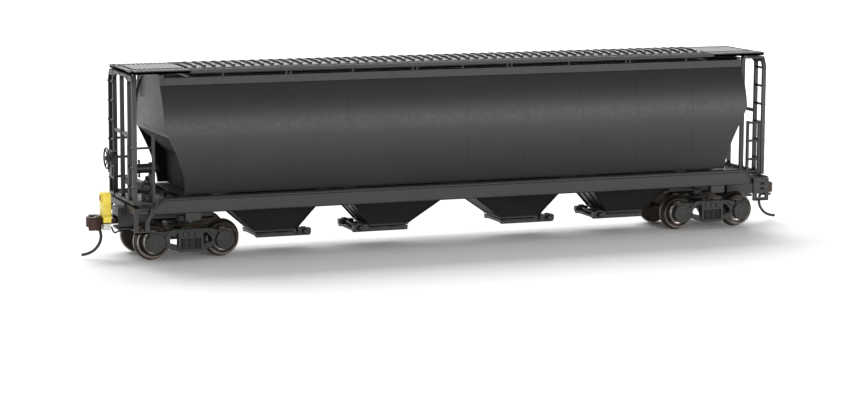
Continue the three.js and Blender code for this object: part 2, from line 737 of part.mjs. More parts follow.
function couplerHead() {
  const eye = rod(
    [-COUPLER_PIVOT_X, 0, COUPLER_Z - SHANK_HALF_HEIGHT],
    [-COUPLER_PIVOT_X, 0, COUPLER_Z + SHANK_HALF_HEIGHT],
    2.5,
    18,
  );
  const shank = box(
    -HEAD_BACK_X - 0.5,
    -COUPLER_PIVOT_X,
    -SHANK_HALF_WIDTH,
    SHANK_HALF_WIDTH,
    COUPLER_Z - SHANK_HALF_HEIGHT,
    COUPLER_Z + SHANK_HALF_HEIGHT,
  );
  const plan = [
    [-HEAD_BACK_X, -1.5],
    [-HEAD_BACK_X, 1.7],
    [-107.3, 2.3],
    [-107.3, 0.5],
    [-107.9, -0.2],
    [-107.9, -1.0],
    [-109.8, -1.7],
    [-COUPLER_FACE_X, -2.6],
    [-109.6, -2.9],
    [-107.4, -2.3],
  ];
  const head = planPlate(plan, 8.3, 12.5);
  const ledge = planPlate(
    [
      [-107.0, 0.2],
      [-107.0, 2.5],
      [-109.2, 2.6],
      [-109.2, 0.9],
    ],
    8.3,
    8.9,
  );
  const holes = [
    rod([-COUPLER_PIVOT_X, 0, 9], [-COUPLER_PIVOT_X, 0, 12], 1.75, 16),
    rod([PIN_X, 0, 7], [PIN_X, 0, 12], PIN_RADIUS + GAP, 10),
  ];
  return cut(join([eye, shank, head, ledge]), holes);
}

function knuckle() {
  return planPlate(
    [
      [-107.65, 0.9],
      [-107.65, 2.3],
      [-108.6, 2.75],
      [-109.6, 2.4],
      [-COUPLER_FACE_X, 1.4],
      [-COUPLER_FACE_X, -0.3],
      [-109.7, -0.7],
      [-109.3, -0.2],
      [-109.3, 0.7],
    ],
    9.2,
    12.1,
  );
}

function tripPin() {
  return wire(
    [
      [PIN_X, 0, 11.6],
      [-107.0, 0, 9.3],
      [-106.4, 0, 7.5],
      [-106.3, 0, 5.9],
      [-106.9, 0, 4.1],
      [-108.3, 0, 2.5],
      [-110.2, 0, 1.6],
      [-112.0, 0, 1.3],
    ],
    PIN_RADIUS,
    16,
    8,
  );
}

// End-of-train flasher carried by the coupler shank.
function flasherHousing() {
  return cut(box(-106.0, -103.7, -2.3, 2.3, 10.5, 19.0), [
    box(-107, -103, -SHANK_HALF_WIDTH - GAP, SHANK_HALF_WIDTH + GAP, 10, 11.7),
    rod([-106.5, 0, 17.4], [-105.3, 0, 17.4], 1.2, 16),
  ]);
}

function flasherLens() {
  return rod([-106.4, 0, 17.4], [-105.6, 0, 17.4], 0.9, 16);
}

function flasherClip() {
  return cut(box(-105.9, -103.9, -2.2, 2.2, 8.3, 10.2), [
    box(-107, -103, -SHANK_HALF_WIDTH - GAP, SHANK_HALF_WIDTH + GAP, 9.5, 11),
  ]);
}

function flasherLead() {
  return wire(
    [
      [-103.6, -1.6, 9.2],
      [-103.3, -1.6, 8.5],
      [-102.9, -1.5, 7.7],
      [-102.3, -1.2, 7.4],
      [-101.6, -0.8, 7.6],
      [-100.8, -0.4, 7.7],
      [-99.6, 0, 7.7],
    ],
    0.25,
    16,
    8,
  );
}

function couplerLid() {
  return cut(box(-BOX_FRONT_X, -BOX_BACK_X, -3.6, 3.6, 8.4, 9.0), [
    rod([-COUPLER_PIVOT_X, 0, 8], [-COUPLER_PIVOT_X, 0, 10], 0.8, 12),
  ]);
}

function lidScrew() {
  return join([
    rod([-COUPLER_PIVOT_X, 0, 7.7], [-COUPLER_PIVOT_X, 0, 12.2], 0.5, 10),
    rod([-COUPLER_PIVOT_X, 0, 7.4], [-COUPLER_PIVOT_X, 0, 8.1], 1.4, 14),
  ]);
}

// ---------------------------------------------------------------- assembly
const car = new THREE.Group();

piece(car, "body_shell", bodyShell(), blackPlastic());
piece(car, "roof_hatch_strip", roofHatch(), blackPlastic());
piece(car, "roof_walkway", roofWalkway(), blackPlastic());
piece(car, "underframe", underframe(), blackPlastic());
piece(car, "ballast_weight", box(-70, 70, -12, 12, SILL_TOP_Z + GAP, 22), steel());
piece(car, "flasher_board", box(-81.1, -70.5, -6, 6, 20.5, 21.7), boardGreen());

piece(car, "brake_housing", brakeHousing(), blackPlastic());
const handWheel = piece(car, "brake_wheel", brakeWheel(), blackPlastic());
handWheel.position.set(0, BRAKE_Y, BRAKE_Z);
piece(car, "brake_cylinder", brakeCylinder(), blackPlastic());
piece(car, "air_reservoir", airReservoir(), blackPlastic());
piece(car, "control_valve", controlValve(), blackPlastic());

piece(car, "flasher_housing", flasherHousing(), yellowPlastic());
piece(car, "flasher_lens", flasherLens(), redPlastic());
piece(car, "flasher_clip", flasherClip(), clearPlastic());
piece(car, "flasher_lead", flasherLead(), wireBlack());

// The two ends are the same, turned half round about the vertical.
for (const [end, half] of [
  ["left", 0],
  ["right", Math.PI],
]) {
  const group = new THREE.Group();
  group.rotation.z = half;
  car.add(group);

  piece(group, `end_cage_${end}`, endCage(), blackPlastic());
  piece(group, `side_ladder_${end}`, sideLadder(), blackPlastic());
  piece(group, `open_step_${end}`, openStep(), blackPlastic());
  piece(group, `plate_step_${end}`, plateStep(), blackPlastic());

  piece(group, `coupler_head_${end}`, couplerHead(), couplerMetal());
  piece(group, `coupler_knuckle_${end}`, knuckle(), couplerMetal());
  piece(group, `trip_pin_${end}`, tripPin(), steel());
  piece(group, `coupler_lid_${end}`, couplerLid(), blackPlastic());
  piece(group, `lid_screw_${end}`, lidScrew(), steel());

  BAYS.forEach((bay, i) => {
    // Drawn on the +X side, so turned once more to lie on this group's own side.
    const side = new THREE.Group();
    side.rotation.z = Math.PI;
    group.add(side);
    const place = i === 0 ? "inner" : "outer";
    piece(side, `hopper_${place}_${end}`, hopperBay(bay), blackPlastic());
    piece(side, `outlet_gate_${place}_${end}`, outletGate(bay), blackPlastic());
  });

  const truck = new THREE.Group();
  truck.position.x = -TRUCK_X;
  group.add(truck);
  piece(truck, `truck_frame_${end}`, truckFrame(), truckPlastic());
  piece(truck, `truck_screw_${end}`, truckScrew(), steel());
  for (const [row, x] of [
    ["outer", -WHEELBASE / 2],
    ["inner", WHEELBASE / 2],
  ]) {
    const set = new THREE.Group();
    set.position.set(x, 0, WHEEL_Z);
    truck.add(set);
    piece(set, `axle_${row}_${end}`, axle(), bronzedMetal());
    for (const [hand, turn] of [
      ["a", 0],
      ["b", Math.PI],
    ]) {
      const disc = piece(set, `wheel_${row}_${end}_${hand}`, wheel(), bronzedMetal());
      disc.rotation.z = turn;
    }
  }
  if (end === "left") piece(truck, "pickup_wiper", pickupWiper(), copperAlloy());
}

export default car;
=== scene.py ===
"""An HO scale four-bay covered grain hopper car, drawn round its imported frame.

Shapes are drawn in millimetres, in the frame of the part: +X along the car, the hand brake at -X,
+Z up, z = 0 under the wheel flanges. Each finished piece is scaled to metres once.
"""

import json
import math

import bmesh
import bpy
from mathutils import Matrix, Vector

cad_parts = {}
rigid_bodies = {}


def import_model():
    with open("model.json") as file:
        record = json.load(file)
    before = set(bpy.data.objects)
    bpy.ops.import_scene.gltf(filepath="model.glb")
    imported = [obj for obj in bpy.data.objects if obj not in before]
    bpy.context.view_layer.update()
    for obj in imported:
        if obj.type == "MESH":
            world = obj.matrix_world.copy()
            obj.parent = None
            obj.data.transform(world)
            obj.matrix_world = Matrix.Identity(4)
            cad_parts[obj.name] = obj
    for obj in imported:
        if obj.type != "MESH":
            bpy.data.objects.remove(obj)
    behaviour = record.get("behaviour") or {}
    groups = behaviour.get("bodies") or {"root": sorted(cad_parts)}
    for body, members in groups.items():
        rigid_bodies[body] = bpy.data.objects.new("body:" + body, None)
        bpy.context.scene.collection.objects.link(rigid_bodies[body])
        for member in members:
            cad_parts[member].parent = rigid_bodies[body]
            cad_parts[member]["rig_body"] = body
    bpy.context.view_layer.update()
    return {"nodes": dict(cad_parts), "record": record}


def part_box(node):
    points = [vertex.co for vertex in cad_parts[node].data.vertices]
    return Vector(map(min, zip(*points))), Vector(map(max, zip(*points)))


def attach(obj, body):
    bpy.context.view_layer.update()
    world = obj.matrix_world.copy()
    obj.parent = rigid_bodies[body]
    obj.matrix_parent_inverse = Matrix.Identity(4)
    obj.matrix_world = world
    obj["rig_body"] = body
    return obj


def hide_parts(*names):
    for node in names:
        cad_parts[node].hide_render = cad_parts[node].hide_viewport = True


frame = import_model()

MM = 0.001
SLOT_OF = {part["node"]: part["material_slot"] for part in frame["record"]["subparts"]}


def extent(node, axis):
    """The low and high edge of a CAD node along X, Y or Z (0, 1, 2), in millimetres."""
    low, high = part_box(node)
    return low[axis] / MM, high[axis] / MM


def span(side, a, b):
    """Two distances from the middle of the car, on the side that is -1 or 1, low first."""
    return sorted((side * a, side * b))


# ---- camera
CAMERA_PLACE = Vector((-277.39, -695.64, 119.92)) * MM
CAMERA_YAW = math.radians(21.21)
CAMERA_PITCH = math.radians(8.24)
CAMERA_ROLL = math.radians(0.21)
CAMERA_LENS = 106.98
CAMERA_SENSOR = 36.0


def make_camera():
    """Yaw turns the view from +Y towards +X, pitch tips it down and roll turns it about itself."""
    heading = Vector((math.sin(CAMERA_YAW), math.cos(CAMERA_YAW), 0))
    ahead = heading * math.cos(CAMERA_PITCH) - Vector((0, 0, math.sin(CAMERA_PITCH)))
    level = Vector((math.cos(CAMERA_YAW), -math.sin(CAMERA_YAW), 0))
    upright = level.cross(ahead)
    right = level * math.cos(CAMERA_ROLL) + upright * math.sin(CAMERA_ROLL)
    up = upright * math.cos(CAMERA_ROLL) - level * math.sin(CAMERA_ROLL)
    data = bpy.data.cameras.new("camera")
    data.lens = CAMERA_LENS
    data.sensor_width = CAMERA_SENSOR
    data.clip_start = 0.01
    data.clip_end = 50
    camera = bpy.data.objects.new("camera", data)
    turned = Matrix((right, up, -ahead)).transposed().to_4x4()
    camera.matrix_world = Matrix.Translation(CAMERA_PLACE) @ turned
    bpy.context.scene.collection.objects.link(camera)
    bpy.context.scene.camera = camera


make_camera()


# ---- materials
class Nodes:
    """A material's node tree, with short names for what every finish here uses."""

    def __init__(self, name):
        self.material = bpy.data.materials.new(name)
        self.material.use_nodes = True
        self.tree = self.material.node_tree
        self.shader = self.tree.nodes["Principled BSDF"]
        self.place = self.tree.nodes.new("ShaderNodeTexCoord").outputs["Object"]

    def link(self, out, into):
        self.tree.links.new(out, into)

    def noise(self, scale, detail=3.0, roughness=0.55, stretch=None):
        node = self.tree.nodes.new("ShaderNodeTexNoise")
        node.inputs["Scale"].default_value = scale
        node.inputs["Detail"].default_value = detail
        node.inputs["Roughness"].default_value = roughness
        place = self.place
        if stretch:
            mapping = self.tree.nodes.new("ShaderNodeMapping")
            mapping.inputs["Scale"].default_value = stretch
            self.link(self.place, mapping.inputs["Vector"])
            place = mapping.outputs["Vector"]
        self.link(place, node.inputs["Vector"])
        return node.outputs["Fac"]

    def ramp(self, value, stops):
        node = self.tree.nodes.new("ShaderNodeValToRGB")
        line = node.color_ramp
        while len(line.elements) < len(stops):
            line.elements.new(0.5)
        for element, (position, colour) in zip(line.elements, stops):
            element.position = position
            element.color = (*colour, 1)
        self.link(value, node.inputs["Fac"])
        return node.outputs["Color"]

    def between(self, value, low, high):
        node = self.tree.nodes.new("ShaderNodeMapRange")
        node.inputs["From Min"].default_value = 0.25
        node.inputs["From Max"].default_value = 0.75
        node.inputs["To Min"].default_value = low
        node.inputs["To Max"].default_value = high
        self.link(value, node.inputs["Value"])
        return node.outputs["Result"]

    def bump(self, height, distance, strength=1.0, over=None):
        node = self.tree.nodes.new("ShaderNodeBump")
        node.inputs["Strength"].default_value = strength
        node.inputs["Distance"].default_value = distance
        self.link(height, node.inputs["Height"])
        if over is not None:
            self.link(over, node.inputs["Normal"])
        return node.outputs["Normal"]

    def set(self, **values):
        for name, value in values.items():
            self.shader.inputs[name.replace("_", " ")].default_value = value


def moulded(name, dark, light, rough, gloss=0.5, grain=1.0):
    """Moulded plastic: faint flow marks in its colour, uneven gloss and a fine orange-peel skin."""
    n = Nodes(name)
    flow = n.noise(120, 4, 0.6, (0.35, 1, 1))
    cloud = n.noise(900, 3)
    skin = n.noise(5200, 2)
    n.link(n.ramp(flow, [(0.3, dark), (0.7, light)]), n.shader.inputs["Base Color"])
    n.link(n.between(cloud, rough - 0.05, rough + 0.06), n.shader.inputs["Roughness"])
    soft = n.bump(cloud, 0.00003 * grain, 0.35)
    n.link(n.bump(skin, 0.000012 * grain, 0.45, soft), n.shader.inputs["Normal"])
    n.set(Specular_IOR_Level=gloss)
    return n


def body_plastic():
    dark, light = (0.0095, 0.0095, 0.0091), (0.0135, 0.0135, 0.0128)
    return moulded("satin_black_styrene", dark, light, 0.42, 0.42)


def unpolished_plastic():
    """The same plastic made darker and rougher, as painted shade in the hollows and on the bay sides that
    lie in shadow.
    """
    dark, light = (0.005, 0.005, 0.005), (0.008, 0.008, 0.0075)
    return moulded("painted_shade_styrene", dark, light, 0.7, 0.2, 1.5)


def truck_plastic():
    dark, light = (0.012, 0.0115, 0.011), (0.022, 0.021, 0.019)
    return moulded("dull_black_acetal", dark, light, 0.55, 0.4, 1.6)


def wire_jacket():
    return moulded("wire_jacket", (0.01, 0.01, 0.01), (0.016, 0.016, 0.016), 0.4)


def yellow_plastic():
    n = moulded("yellow_styrene", (0.86, 0.66, 0.05), (0.95, 0.78, 0.10), 0.38, 0.5, 0.7)
    n.set(Subsurface_Weight=0.15, Subsurface_Radius=(0.001, 0.0007, 0.0002))
    return n


def clear_plastic():
    n = moulded("milky_plastic", (0.74, 0.72, 0.66), (0.86, 0.85, 0.80), 0.25, 0.5, 0.5)
    n.set(Transmission_Weight=0.35, Subsurface_Weight=0.2, Subsurface_Radius=(0.001, 0.001, 0.001))
    return n


def red_lens():
    n = moulded("red_lens", (0.42, 0.008, 0.008), (0.55, 0.015, 0.012), 0.08, 0.6, 0.3)
    n.set(Transmission_Weight=0.5, Coat_Weight=0.6, Coat_Roughness=0.04)
    return n


def metal(name, dark, light, rough, metallic, turned=None, depth=0.00001):
    """Stained metal with fine marks in its surface, drawn out along one way if turned is given."""
    n = Nodes(name)
    stain = n.noise(420, 5, 0.65)
    marks = n.noise(2600, 4, 0.6, turned)
    n.link(n.ramp(stain, [(0.32, dark), (0.68, light)]), n.shader.inputs["Base Color"])
    n.link(n.between(marks, rough - 0.08, rough + 0.1), n.shader.inputs["Roughness"])
    n.link(n.bump(marks, depth, 0.5), n.shader.inputs["Normal"])
    n.set(Metallic=metallic)
    return n


def wheel_metal():
    dark, light = (0.038, 0.031, 0.026), (0.085, 0.068, 0.057)
    return metal("browned_metal", dark, light, 0.42, 0.75)


# bright metal: real wear on the flange tip and rim corner, and a painted highlight in the hollow of the dish
def tread_metal():
    return metal("wear_and_highlight_bright_metal", (0.34, 0.30, 0.27), (0.52, 0.47, 0.43), 0.3, 1.0, (1, 6, 1))


def coupler_metal():
    dark, light = (0.024, 0.0095, 0.0065), (0.058, 0.025, 0.016)
    return metal("coupler_metal", dark, light, 0.45, 0.5, None, 0.00002)


def plain_steel():
    return metal("dark_steel", (0.10, 0.10, 0.10), (0.19, 0.19, 0.185), 0.32, 1.0)


def pin_steel():
    return metal("blackened_steel", (0.030, 0.028, 0.026), (0.055, 0.052, 0.048), 0.34, 0.8)


def spring_bronze():
    return metal("spring_bronze", (0.035, 0.022, 0.012), (0.065, 0.042, 0.022), 0.5, 1.0, (1, 8, 1))


def circuit_board():
    n = moulded("solder_mask", (0.02, 0.11, 0.045), (0.035, 0.17, 0.07), 0.34)
    n.set(Coat_Weight=0.3)
    return n


BLACKS = (body_plastic, unpolished_plastic, truck_plastic, wire_jacket)
COLOURS = (yellow_plastic, clear_plastic, red_lens)
METALS = (wheel_metal, tread_metal, coupler_metal, plain_steel, pin_steel, spring_bronze)
FINISH = {make.__name__: make().material for make in (*BLACKS, *COLOURS, *METALS, circuit_board)}


# ---- drawing
def on_plane(axis, u, v, w):
    """A point of a plane at w along that axis. x: (Y, Z); y: (X, Z); z: (X, Y)."""
    return {"x": (w, u, v), "y": (u, w, v), "z": (u, v, w)}[axis]


def arc(centre, radius, start, stop, steps):
    """Points along an arc, in degrees."""
    turns = [math.radians(start + (stop - start) * i / steps) for i in range(steps + 1)]
    return [(centre[0] + radius * math.cos(t), centre[1] + radius * math.sin(t)) for t in turns]


def circle(centre, radius, steps):
    """Points round a whole circle, as many as steps."""
    return arc(centre, radius, 0, 360 * (1 - 1 / steps), steps - 1)


def rounded(u, v, radius, steps=4):
    """The outline of a rectangle with round corners; u and v are (low, high)."""
    corners = [
        (u[1] - radius, v[1] - radius, 0),
        (u[0] + radius, v[1] - radius, 90),
        (u[0] + radius, v[0] + radius, 180),
        (u[1] - radius, v[0] + radius, 270),
    ]
    return [p for cu, cv, start in corners for p in arc((cu, cv), radius, start, start + 90, steps)]


def both_sides(half):
    """A half outline on the plus side of the first coordinate, with its mirror image added."""
    return [*half, *[(-u, v) for u, v in reversed(half)]]


class Shape:
    """Closed shells, drawn in millimetres, that make one piece."""

    def __init__(self):
        self.bm = bmesh.new()

    def skin(self, rings, cap=True, wrap=False):
        """Faces over a row of rings of as many points each; a ring of one point is a pole."""
        made = [[self.bm.verts.new(p) for p in ring] for ring in rings]
        pairs = list(zip(made, made[1:]))
        if wrap:
            pairs.append((made[-1], made[0]))
        for low, high in pairs:
            count = max(len(low), len(high))
            for i in range(count):
                j = (i + 1) % count
                corners = [low[i % len(low)], low[j % len(low)], high[j % len(high)], high[i % len(high)]]
                self.bm.faces.new(list(dict.fromkeys(corners)))
        for ring in (made[0], made[-1]):
            if cap and not wrap and len(ring) > 2:
                self.bm.faces.new(ring)
        return self

    def prism(self, axis, points, depth):
        return self.skin([[on_plane(axis, u, v, w) for u, v in points] for w in depth])

    def box(self, x, y, z):
        return self.prism("z", [(x[0], y[0]), (x[1], y[0]), (x[1], y[1]), (x[0], y[1])], z)

    def pierced(self, axis, edge, holes, depth):
        """A plate with holes through it."""
        edges = []
        for ring in (edge, *holes):
            verts = [self.bm.verts.new(on_plane(axis, u, v, depth[0])) for u, v in ring]
            edges += [self.bm.edges.new(pair) for pair in zip(verts, verts[1:] + verts[:1])]
        filled = bmesh.ops.triangle_fill(self.bm, use_beauty=True, edges=edges)["geom"]
        faces = [g for g in filled if isinstance(g, bmesh.types.BMFace)]
        grown = bmesh.ops.extrude_face_region(self.bm, geom=faces, use_keep_orig=True)["geom"]
        raised = [g for g in grown if isinstance(g, bmesh.types.BMVert)]
        bmesh.ops.translate(self.bm, verts=raised, vec=on_plane(axis, 0, 0, depth[1] - depth[0]))
        return self

    def tube(self, points, radius, sides=10, ends=True, wrap=False):
        """A round bar along a row of points; radius is one number or one for each point."""
        path = [Vector(p) for p in points]
        radii = radius if isinstance(radius, (list, tuple)) else [radius] * len(path)
        rings = []
        side = None
        for i, point in enumerate(path):
            before = path[i - 1] if i or wrap else point
            after = path[(i + 1) % len(path)] if i + 1 < len(path) or wrap else point
            along = (after - before).normalized()
            if side is None:
                side = along.orthogonal().normalized()
            side = (side - along * side.dot(along)).normalized()
            other = along.cross(side)
            turns = [2 * math.pi * k / sides for k in range(sides)]
            rings.append([point + (side * math.cos(t) + other * math.sin(t)) * radii[i] for t in turns])
        return self.skin(rings, cap=ends, wrap=wrap)

    def rod(self, start, stop, radius, sides=16):
        return self.tube([start, stop], radius, sides)

    def lathe(self, centre, axis, profile, sides=48, way=1):
        """A profile of (radius, distance) points turned about an axis through centre, distances along way.

        A profile that starts off the axis closes on itself, as a ring.
        """
        rings = []
        for radius, along in profile:
            ring = circle((0, 0), radius, sides) if radius else [(0, 0)]
            rings.append([Vector(centre) + Vector(on_plane(axis, u, v, way * along)) for u, v in ring])
        return self.skin(rings, wrap=profile[0][0] > 0)

    def bolt(self, place, axis, towards, radius=0.3, height=0.22):
        """A domed bolt head that stands out from a face."""
        rise = [(0, 0), (radius, 0), (radius, height * 0.5), (radius * 0.6, height * 0.92), (0, height)]
        return self.lathe(place, axis, rise, 10, towards)

    def refinish(self, index, belongs):
        """Gives the faces whose middle passes the test another finish."""
        for face in self.bm.faces:
            if belongs(face.calc_center_median()):
                face.material_index = index
        return self

    def shift(self, x):
        """Moves the drawing along the car."""
        bmesh.ops.translate(self.bm, verts=self.bm.verts, vec=(x, 0, 0))
        return self

    def half_turn(self):
        """Swings the drawing round to the other end of the car."""
        about_z = Matrix.Rotation(math.pi, 3, "Z")
        bmesh.ops.rotate(self.bm, verts=self.bm.verts, cent=(0, 0, 0), matrix=about_z)
        return self

    def piece(self, name, body, finishes, bevel=0.1, sharp=35, end="left", stands_for=(), slot=None):
        """Closes the drawing as one object in metres. A piece of the right end is turned half round."""
        if end == "right":
            self.half_turn()
        bmesh.ops.recalc_face_normals(self.bm, faces=self.bm.faces)
        bmesh.ops.scale(self.bm, vec=(MM, MM, MM), verts=self.bm.verts)
        for face in self.bm.faces:
            face.smooth = True
        mesh = bpy.data.meshes.new(name)
        self.bm.to_mesh(mesh)
        self.bm.free()
        mesh.set_sharp_from_angle(angle=math.radians(sharp))
        for finish in finishes:
            mesh.materials.append(FINISH[finish])
        made = bpy.data.objects.new(name, mesh)
        bpy.context.scene.collection.objects.link(made)
        if bevel:
            soften = made.modifiers.new("soft_edges", "BEVEL")
            soften.width = bevel * MM
            soften.segments = 2
            soften.limit_method = "ANGLE"
            soften.angle_limit = math.radians(sharp)
            soften.harden_normals = True
        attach(made, body)
        if stands_for:
            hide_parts(*stands_for)
        return made

    def stand_for(self, node, extra_finishes=(), **how):
        """The same, for a piece that takes the place of one CAD node."""
        body = frame["nodes"][node]["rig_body"]
        slot = SLOT_OF[node]
        end = "right" if "_right" in node else "left"
        finishes = how.pop("finishes", [slot, *extra_finishes])
        return self.piece(f"{node}_fine", body, finishes, end=end, stands_for=(node,), slot=slot, **how)


ENDS = ("left", "right")

# ---- sizes that the pieces share
TANK_X = extent("body_shell", 0)[1]
TANK_Y = extent("body_shell", 1)[1]
TANK_BOTTOM = extent("body_shell", 2)[0]
ROOF_Z = 52.3
KNEE_Z = 38.2
END_INSET = 6.3
TANK_WIDEST_Z = 35.5
TANK_RISE = 20.8
TANK_FALL = 30.0
TANK_WALL = 1.3
BAND_Z = 50.2
BAND_Y = 12.6
BAND_X = 90.6
SEAM_PITCH = 18.42
END_DISC_RADIUS = 17.35
END_RECESS = 0.45
WING, UPPER_RIM = 0.75, 0.3
BULKHEAD_X = 82.8
SLOPE_TOP_Z = 36.4
SLOPE_FOOT_Z = 28.4

WALK_X = 100.0
WALK_Y = extent("roof_walkway", 1)[1]
WALK_Z0, WALK_Z1 = 53.5, extent("roof_walkway", 2)[1]
HATCH_X, HATCH_Y = extent("roof_hatch_strip", 0)[1], extent("roof_hatch_strip", 1)[1]
HATCH_TOP = extent("roof_hatch_strip", 2)[1]
BATTEN_PITCH = 2.9

FRAME_X, FRAME_Y = 100.2, 16.4
SILL_Z0, SILL_Z1, END_SILL_Z1 = 14.2, 19.0, 16.5
DRAUGHT_SILL_Z = 10.4
CAGE_X, POST_DEPTH, POST_WIDTH = 100.2, 1.2, 0.8
CORNER_Y, STILE_Y = 13.4, 8.3
CAGE_Z0, CAGE_Z1 = extent("end_cage_left", 2)
ARCH_Z, ARCH_MIDDLE_Z = 51.6, 52.4
RUNG_Z = [21.6 + 5.62 * i for i in range(6)]
RUNG_RADIUS = 0.38

TRUCK_X = 83.2
WHEELBASE = 20.4
WHEEL_RADIUS = 4.81
FLANGE = 0.7
WHEEL_Z = WHEEL_RADIUS + FLANGE
COUPLER_Z = 10.6
COUPLER_PIVOT_X = 96.0
BOX_X, BOX_Y, BOX_WALL = (92.3, 102.0), 3.6, 0.7
BOX_Z0, BOX_ROOF_Z = 9.3, 12.4


# ---- tank
def tank_half_width(z):
    rise = TANK_RISE if z > TANK_WIDEST_Z else TANK_FALL
    return TANK_Y * math.sqrt(1 - ((z - TANK_WIDEST_Z) / rise) ** 2)


def tank_half_length(z):
    """The side sheet's end is upright above the knee and curves in below it."""
    turn = max(KNEE_Z - z, 0) / (KNEE_Z - TANK_BOTTOM) * math.pi / 2
    return TANK_X - END_INSET * math.sin(turn)


def bulkhead_half_length(z):
    """The end sheet, the slope sheet in from its foot, and the upright bulkhead below."""
    slope = (SLOPE_TOP_Z - z) / (SLOPE_TOP_Z - SLOPE_FOOT_Z)
    sheet = TANK_X - END_RECESS
    return sheet - min(max(slope, 0), 1) * (sheet - BULKHEAD_X)


def tank_ring(z, wall):
    """One level of the tank: its sides reach past the end sheets, which stand in behind their rims."""
    x = tank_half_length(z)
    y = tank_half_width(min(z, BAND_Z))
    above = max(z - TANK_WIDEST_Z, 0)
    rim = WING if z < SLOPE_TOP_Z + 0.01 else UPPER_RIM
    sheet_y = min(y - rim, math.sqrt(END_DISC_RADIUS**2 - above**2))
    sheet_x = min(bulkhead_half_length(z), x - 0.02)
    end = [(x, y), (x, sheet_y), (sheet_x, sheet_y)]
    if wall:
        end = [(sheet_x - wall - 0.2 * i, y - wall) for i in (0, 1, 2)]
    end += [(u, -v) for u, v in reversed(end)]
    return [(u, v, z) for u, v in [*end, *[(-u, -v) for u, v in end]]]


def body_shell():
    shape = Shape()
    steps = 30
    levels = [TANK_BOTTOM + (BAND_Z - TANK_BOTTOM) * i / steps for i in range(steps + 1)] + [ROOF_Z]
    above_band = 51.2
    levels = sorted({*levels, SLOPE_FOOT_Z, SLOPE_TOP_Z, SLOPE_TOP_Z + 0.05, KNEE_Z, above_band})
    inside = [tank_ring(min(z, ROOF_Z - TANK_WALL), TANK_WALL) for z in reversed(levels)]
    shape.skin([*inside, *[tank_ring(z, 0) for z in levels]])
    for side in (-1, 1):
        # the straight band under the roof, with a narrow lip
        shape.box((-BAND_X, BAND_X), span(side, 11.4, BAND_Y), (BAND_Z, ROOF_Z))
        shape.box((-BAND_X, BAND_X), span(side, 12.2, BAND_Y + 0.12), (ROOF_Z - 0.35, ROOF_Z + 0.05))
    for end in (-1, 1):
        # the end sheet reaches up to the walkway
        crest = span(end, TANK_X - TANK_WALL, TANK_X - 0.05)
        shape.box(crest, (-BAND_Y + 0.1, BAND_Y - 0.1), (ROOF_Z - 0.6, WALK_Z0 - 0.3))
    add_seams(shape)

    # faces in the hollow under each slope sheet take the darker plastic, as painted shade for the shadow
    # there
    def in_shaded_hollow(c):
        under_slope = c.z < SLOPE_TOP_Z and abs(c.y) < 17
        return under_slope and bulkhead_half_length(c.z) - 3 < abs(c.x) < tank_half_length(c.z) - 0.1

    shape.refinish(1, in_shaded_hollow)
    return shape.stand_for("body_shell", ["unpolished_plastic"], bevel=0.13, sharp=30)


def add_seams(shape):
    """Weld beads down the side sheets."""
    bead_half, proud = 0.22, 0.05
    levels = [TANK_BOTTOM + 0.3 + (BAND_Z - TANK_BOTTOM - 0.4) * i / 20 for i in range(21)]
    for side in (-1, 1):
        outer = [(side * min(tank_half_width(z) + proud, TANK_Y), z) for z in levels]
        inner = [(side * (tank_half_width(z) - 0.3), z) for z in reversed(levels)]
        for i in range(-4, 5):
            x = i * SEAM_PITCH
            shape.prism("x", outer + inner, (x - bead_half, x + bead_half))


# ---- roof
def roof_hatch():
    shape = Shape()
    base_top, cover_low = 54.0, HATCH_TOP - 0.95
    shape.box((-HATCH_X, HATCH_X), (-HATCH_Y, HATCH_Y), (ROOF_Z + 0.3, base_top))
    crown = both_sides([(HATCH_Y - 0.1, base_top - 0.1), (HATCH_Y - 0.1, cover_low), (4.0, cover_low + 0.3)])
    shape.prism("x", crown, (-HATCH_X, HATCH_X))
    count = int(2 * (HATCH_X - 1) / BATTEN_PITCH)
    lift = both_sides([(HATCH_Y - 0.25, base_top + 0.2), (HATCH_Y - 0.5, HATCH_TOP - 0.3), (4.0, HATCH_TOP)])
    for i in range(count + 1):
        x = (i - count / 2) * BATTEN_PITCH
        shape.prism("x", lift, (x - 0.42, x + 0.42))
        if i % 2 == 0:
            for side in (-1, 1):
                latch = span(side, HATCH_Y - 0.4, HATCH_Y)
                shape.box((x - 0.75, x + 0.75), latch, (base_top - 0.6, base_top + 0.5))
    for side in (-1, 1):
        x, y = HATCH_X - 0.5, side * (HATCH_Y - 0.3)
        shape.rod((-x, y, base_top), (x, y, base_top), 0.24, 8)
    return shape.stand_for("roof_hatch_strip", bevel=0.12)


